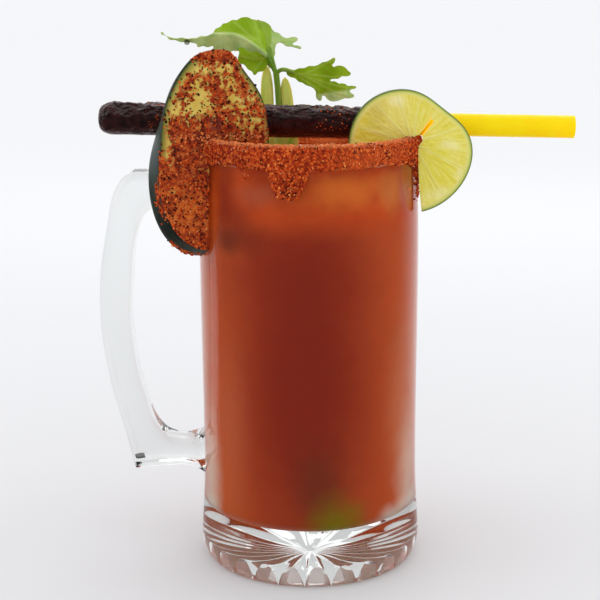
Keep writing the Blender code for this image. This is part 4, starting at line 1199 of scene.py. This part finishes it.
leaves = [
    blade("leaf_arch", toothed(ARCH, 1), [
        [(-3.6, 7.0), (-8.0, 13.0), (-16.0, 15.5), (-27.0, 13.8), (-44.0, 14.4)],
        [(-6.0, 10.5), (-9.0, 20.5)], [(-10.0, 14.0), (-17.0, 20.0)], [(-16.0, 15.5), (-24.0, 16.8)],
        [(-9.0, 13.3), (-15.0, 9.0)], [(-15.0, 15.2), (-24.0, 9.0)], [(-22.0, 14.6), (-31.0, 11.2)],
    ], arch_depth, arch_under),
    blade("leaf_lobe", toothed(LOBE, 2), [
        [(-3.4, 6.0), (-8.6, 5.0), (-14.6, 6.5)], [(-5.0, 5.6), (-9.0, 0.2)], [(-7.0, 5.3), (-12.0, 8.8)],
    ], lobe_depth, lambda x, z: 0.0),
    blade("leaf_fold", toothed(FOLD, 3), [
        [(-1.9, 1.6), (-3.0, 10.0), (-6.0, 19.5)], [(-2.8, 9.0), (1.5, 12.0), (8.0, 12.6)],
        [(-2.4, 5.0), (-0.8, 9.0)],
    ], fold_depth, lambda x, z: 0.75 if x > -3.2 + 0.1 * z else 0.15),
    blade("leaf_right", toothed(RIGHT, 4), [
        [(4.6, -0.6), (14.0, -1.6), (24.0, -3.0), (30.6, -2.0)], [(12.0, -1.4), (24.2, 4.4)],
        [(9.0, -1.2), (20.0, -5.0), (32.4, -8.0)], [(13.0, -2.8), (24.0, -9.0), (31.0, -10.6)],
        [(10.0, -2.6), (17.5, -8.0), (18.3, -11.6)],
    ], right_depth, lambda x, z: (-9.6 - z + 0.15 * (x - 16.0)) * 0.8),
]
flanges = [
    pointed("rib_end_left", STALK_TOP + Vector((-4.4, 1.6, -5.0)), Vector((-17.2, 16.5, 206.9)), 2.6),
    pointed("rib_end_right", STALK_TOP + Vector((4.4, 1.6, -5.0)), Vector((-9.6, 16.5, 202.0)), 2.5),
]
low, high = STALK_TOP + Vector((0.4, 2.4, -9)), STALK_TOP + Vector((0.2, 1.8, 4))
stems = [stem("stem_main", [low, high, LEAF_NODE + Vector((0, 0, 0.4))], 1.3)]
start = LEAF_NODE - Vector((0, 0, 1))
for name, bend, end in (
    ("stem_left", (-2.2, -0.3, 3.6), (-4.4, -0.6, 8.6)), ("stem_back", (-1.2, 0.4, 3.6), (-2.6, 3.6, 9.6)),
    ("stem_right", (2.4, -0.4, 0.6), (7.6, -0.1, -0.6)),
):
    stems.append(stem(name, [start, LEAF_NODE + Vector(bend), LEAF_NODE + Vector(end)], 0.9))
LEAF_GREEN, LEAF_UNDER = rgb(124, 158, 4), rgb(194, 216, 144)
leaf_finish, tree, shader = principled(
    "celery leaf", 0.42, IOR=1.42, Specular_IOR_Level=0.12, Subsurface_Weight=0.25, Subsurface_Scale=0.001,
)
shade = mixed(tree, clouds(tree, 130.0, 3.0, 0.3, 0.7), LEAF_GREEN, rgb(142, 176, 26))
under = mixed(tree, clouds(tree, 200.0, 2.0, 0.3, 0.7), LEAF_UNDER, rgb(164, 194, 120))
shade = mixed(tree, written(tree, "under"), shade, under)
shade = mixed(tree, scaled(tree, written(tree, "vein"), 0.28), shade, rgb(186, 204, 104))
tree.links.new(shade, shader.inputs["Base Color"])
bumped(tree, shader, clouds(tree, 420.0, 3.0, 0.3, 0.7), 0.3, 0.3)
stem_finish, tree, shader = principled(
    "celery stem", 0.3, IOR=1.42, Subsurface_Weight=0.4, Subsurface_Scale=0.002,
)
shade = mixed(tree, clouds(tree, 240.0, 2.0, 0.3, 0.7, 0.15), rgb(96, 140, 28), rgb(134, 166, 60))
tree.links.new(shade, shader.inputs["Base Color"])
bumped(tree, shader, clouds(tree, 600.0, 2.0, 0.3, 0.7, 0.1), 0.4, 0.2)
flesh_finish, tree, shader = principled(
    "celery flesh", 0.3, IOR=1.4, Subsurface_Weight=0.5, Subsurface_Scale=0.004,
)
shade = mixed(tree, clouds(tree, 300.0, 3.0, 0.35, 0.65, 0.12), rgb(208, 222, 112), rgb(182, 206, 78))
tree.links.new(shade, shader.inputs["Base Color"])
bumped(tree, shader, clouds(tree, 700.0, 2.0, 0.3, 0.7, 0.08), 0.4, 0.25)
for piece in leaves:
    piece.data.materials.clear()
    piece.data.materials.append(leaf_finish)
for piece in stems:
    piece.data.materials.append(stem_finish)
for piece in (stalk, *flanges):
    piece.data.materials.append(flesh_finish)
bpy.ops.object.select_all(action="DESELECT")
drop_at = at(LEAF_NODE + DROP_PLACE)
bpy.ops.mesh.primitive_uv_sphere_add(segments=48, ring_count=24, radius=1.2 * MM, location=drop_at)
drop = bpy.context.object
drop.name = drop.data.name = "water_drop"
bpy.ops.object.transform_apply(location=True)
smoothed(drop, 60)
# The drop is tinted grey: painted shade standing in for its dark outline.
drop_finish = principled("water", 0.0, IOR=1.33, Transmission_Weight=1.0, Base_Color=rgb(128, 134, 120))[0]
drop.data.materials.append(drop_finish)
for piece in (stalk, *flanges, *stems, *leaves, drop):
    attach(piece, "root")
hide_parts("celery")


# The studio is a wide pale floor under an even white sky, with a soft light at each side and one behind.
# The room's front and sides are dark for reflections, so that the glass shows the drink and not the room.
# None of it belongs to the drink.
CAMERA_PLACE = Vector((-0.00385, -0.586, 0.2407))  # from the mug's axis, in metres
CAMERA_DOWN, CAMERA_ROLL = 12.55, -0.35  # in degrees


def front_share(tree, direction):
    """1 towards the front and sides of the room, 0 towards its back and ceiling."""
    way = node(tree, "SeparateXYZ", {"Vector": vectors(tree, "NORMALIZE", direction)}).outputs
    return ranged(tree, maths(tree, "MULTIPLY_ADD", way["Z"], 0.9, way["Y"]), 0.95, 0.1)


def darkened(tree, plain, dark, share, output):
    """Shows the dark shader in place of the plain one to reflected rays only."""
    ray = node(tree, "LightPath").outputs
    mirrored = maths(tree, "SUBTRACT", ray["Is Glossy Ray"], ray["Is Transmission Ray"], use_clamp=True)
    either = node(tree, "MixShader", {"Fac": maths(tree, "MULTIPLY", mirrored, share), 1: plain, 2: dark})
    tree.links.new(either.outputs["Shader"], output)


bpy.ops.object.select_all(action="DESELECT")
bpy.ops.mesh.primitive_circle_add(vertices=96, radius=30.0, fill_type="NGON", location=(AXIS_X, 0, 0))
floor = bpy.context.object
floor.name = "floor"
bpy.ops.object.transform_apply(location=True)
material, tree, shader = principled(
    "pale floor", 0.7, Specular_IOR_Level=0.0, Emission_Color=(1.0, 0.98, 0.96, 1.0),
)
place = node(tree, "TexCoord").outputs["Object"]
reach = vectors(tree, "DISTANCE", place, (AXIS_X, 0, 0))
# Painted shade: the floor is greyer near the mug and whitens outwards.
shade = mixed(tree, ranged(tree, reach, 0.05, 1.6), (0.775, 0.78, 0.795, 1.0), (0.97, 0.975, 0.99, 1.0))
tree.links.new(shade, shader.inputs["Base Color"])
# Painted light: the floor under the glass foot glows, standing in for light that the foot lets through onto
# it.
painted_glow = ramped(
    tree, scaled(tree, reach, 20.0), (0.0, (0.12, 0.12, 0.12, 1)), (0.5, (0.2, 0.2, 0.2, 1)),
    (0.7, (0.6, 0.6, 0.6, 1)), (0.8, (0.6, 0.6, 0.6, 1)), (0.86, (0, 0, 0, 1)),
)
tree.links.new(painted_glow, shader.inputs["Emission Strength"])
dark = node(tree, "BsdfDiffuse", {"Color": (0.06, 0.06, 0.06, 1.0)}).outputs["BSDF"]
beyond = ranged(tree, reach, 0.05, 0.08, "LINEAR")  # the floor under the foot stays plain
share = maths(tree, "MULTIPLY", beyond, front_share(tree, place))
darkened(tree, shader.outputs["BSDF"], dark, share, tree.nodes["Material Output"].inputs["Surface"])
floor.data.materials.append(material)

scene = bpy.context.scene
scene.view_settings.view_transform = "Standard"
world = bpy.data.worlds.new("white studio")
scene.world = world
world.use_nodes = True
tree = world.node_tree
sky = tree.nodes["Background"]
sky.inputs["Color"].default_value = (0.985, 0.99, 1.0, 1.0)
sky.inputs["Strength"].default_value = 0.96
dark = node(tree, "Background", {"Color": (0.1, 0.1, 0.1, 1.0)}).outputs["Background"]
share = front_share(tree, node(tree, "TexCoord").outputs["Generated"])
darkened(tree, sky.outputs["Background"], dark, share, tree.nodes["World Output"].inputs["Surface"])

for name, place, energy, size in (
    ("left light", (-0.75, -0.1, 0.45), 0.8, 0.5),
    ("right light", (0.75, -0.05, 0.45), 0.8, 0.5),
    ("back light", (0.1, 0.8, 0.8), 1.4, 0.8),
):
    lamp = bpy.data.objects.new(name, bpy.data.lights.new(name, "AREA"))
    scene.collection.objects.link(lamp)
    lamp.data.energy = energy
    lamp.data.size = size
    lamp.location = place
    lamp.rotation_euler = (Vector((AXIS_X, 0, 0.1)) - lamp.location).to_track_quat("-Z", "Y").to_euler()

camera = bpy.data.objects.new("camera", bpy.data.cameras.new("camera"))
scene.collection.objects.link(camera)
camera.data.lens = 85.74
camera.data.sensor_width = 36.0
camera.matrix_world = (
    Matrix.Translation(Vector((AXIS_X, 0, 0)) + CAMERA_PLACE)
    @ Matrix.Rotation(math.radians(90.0 - CAMERA_DOWN), 4, "X")
    @ Matrix.Rotation(math.radians(CAMERA_ROLL), 4, "Z")
)
scene.camera = camera
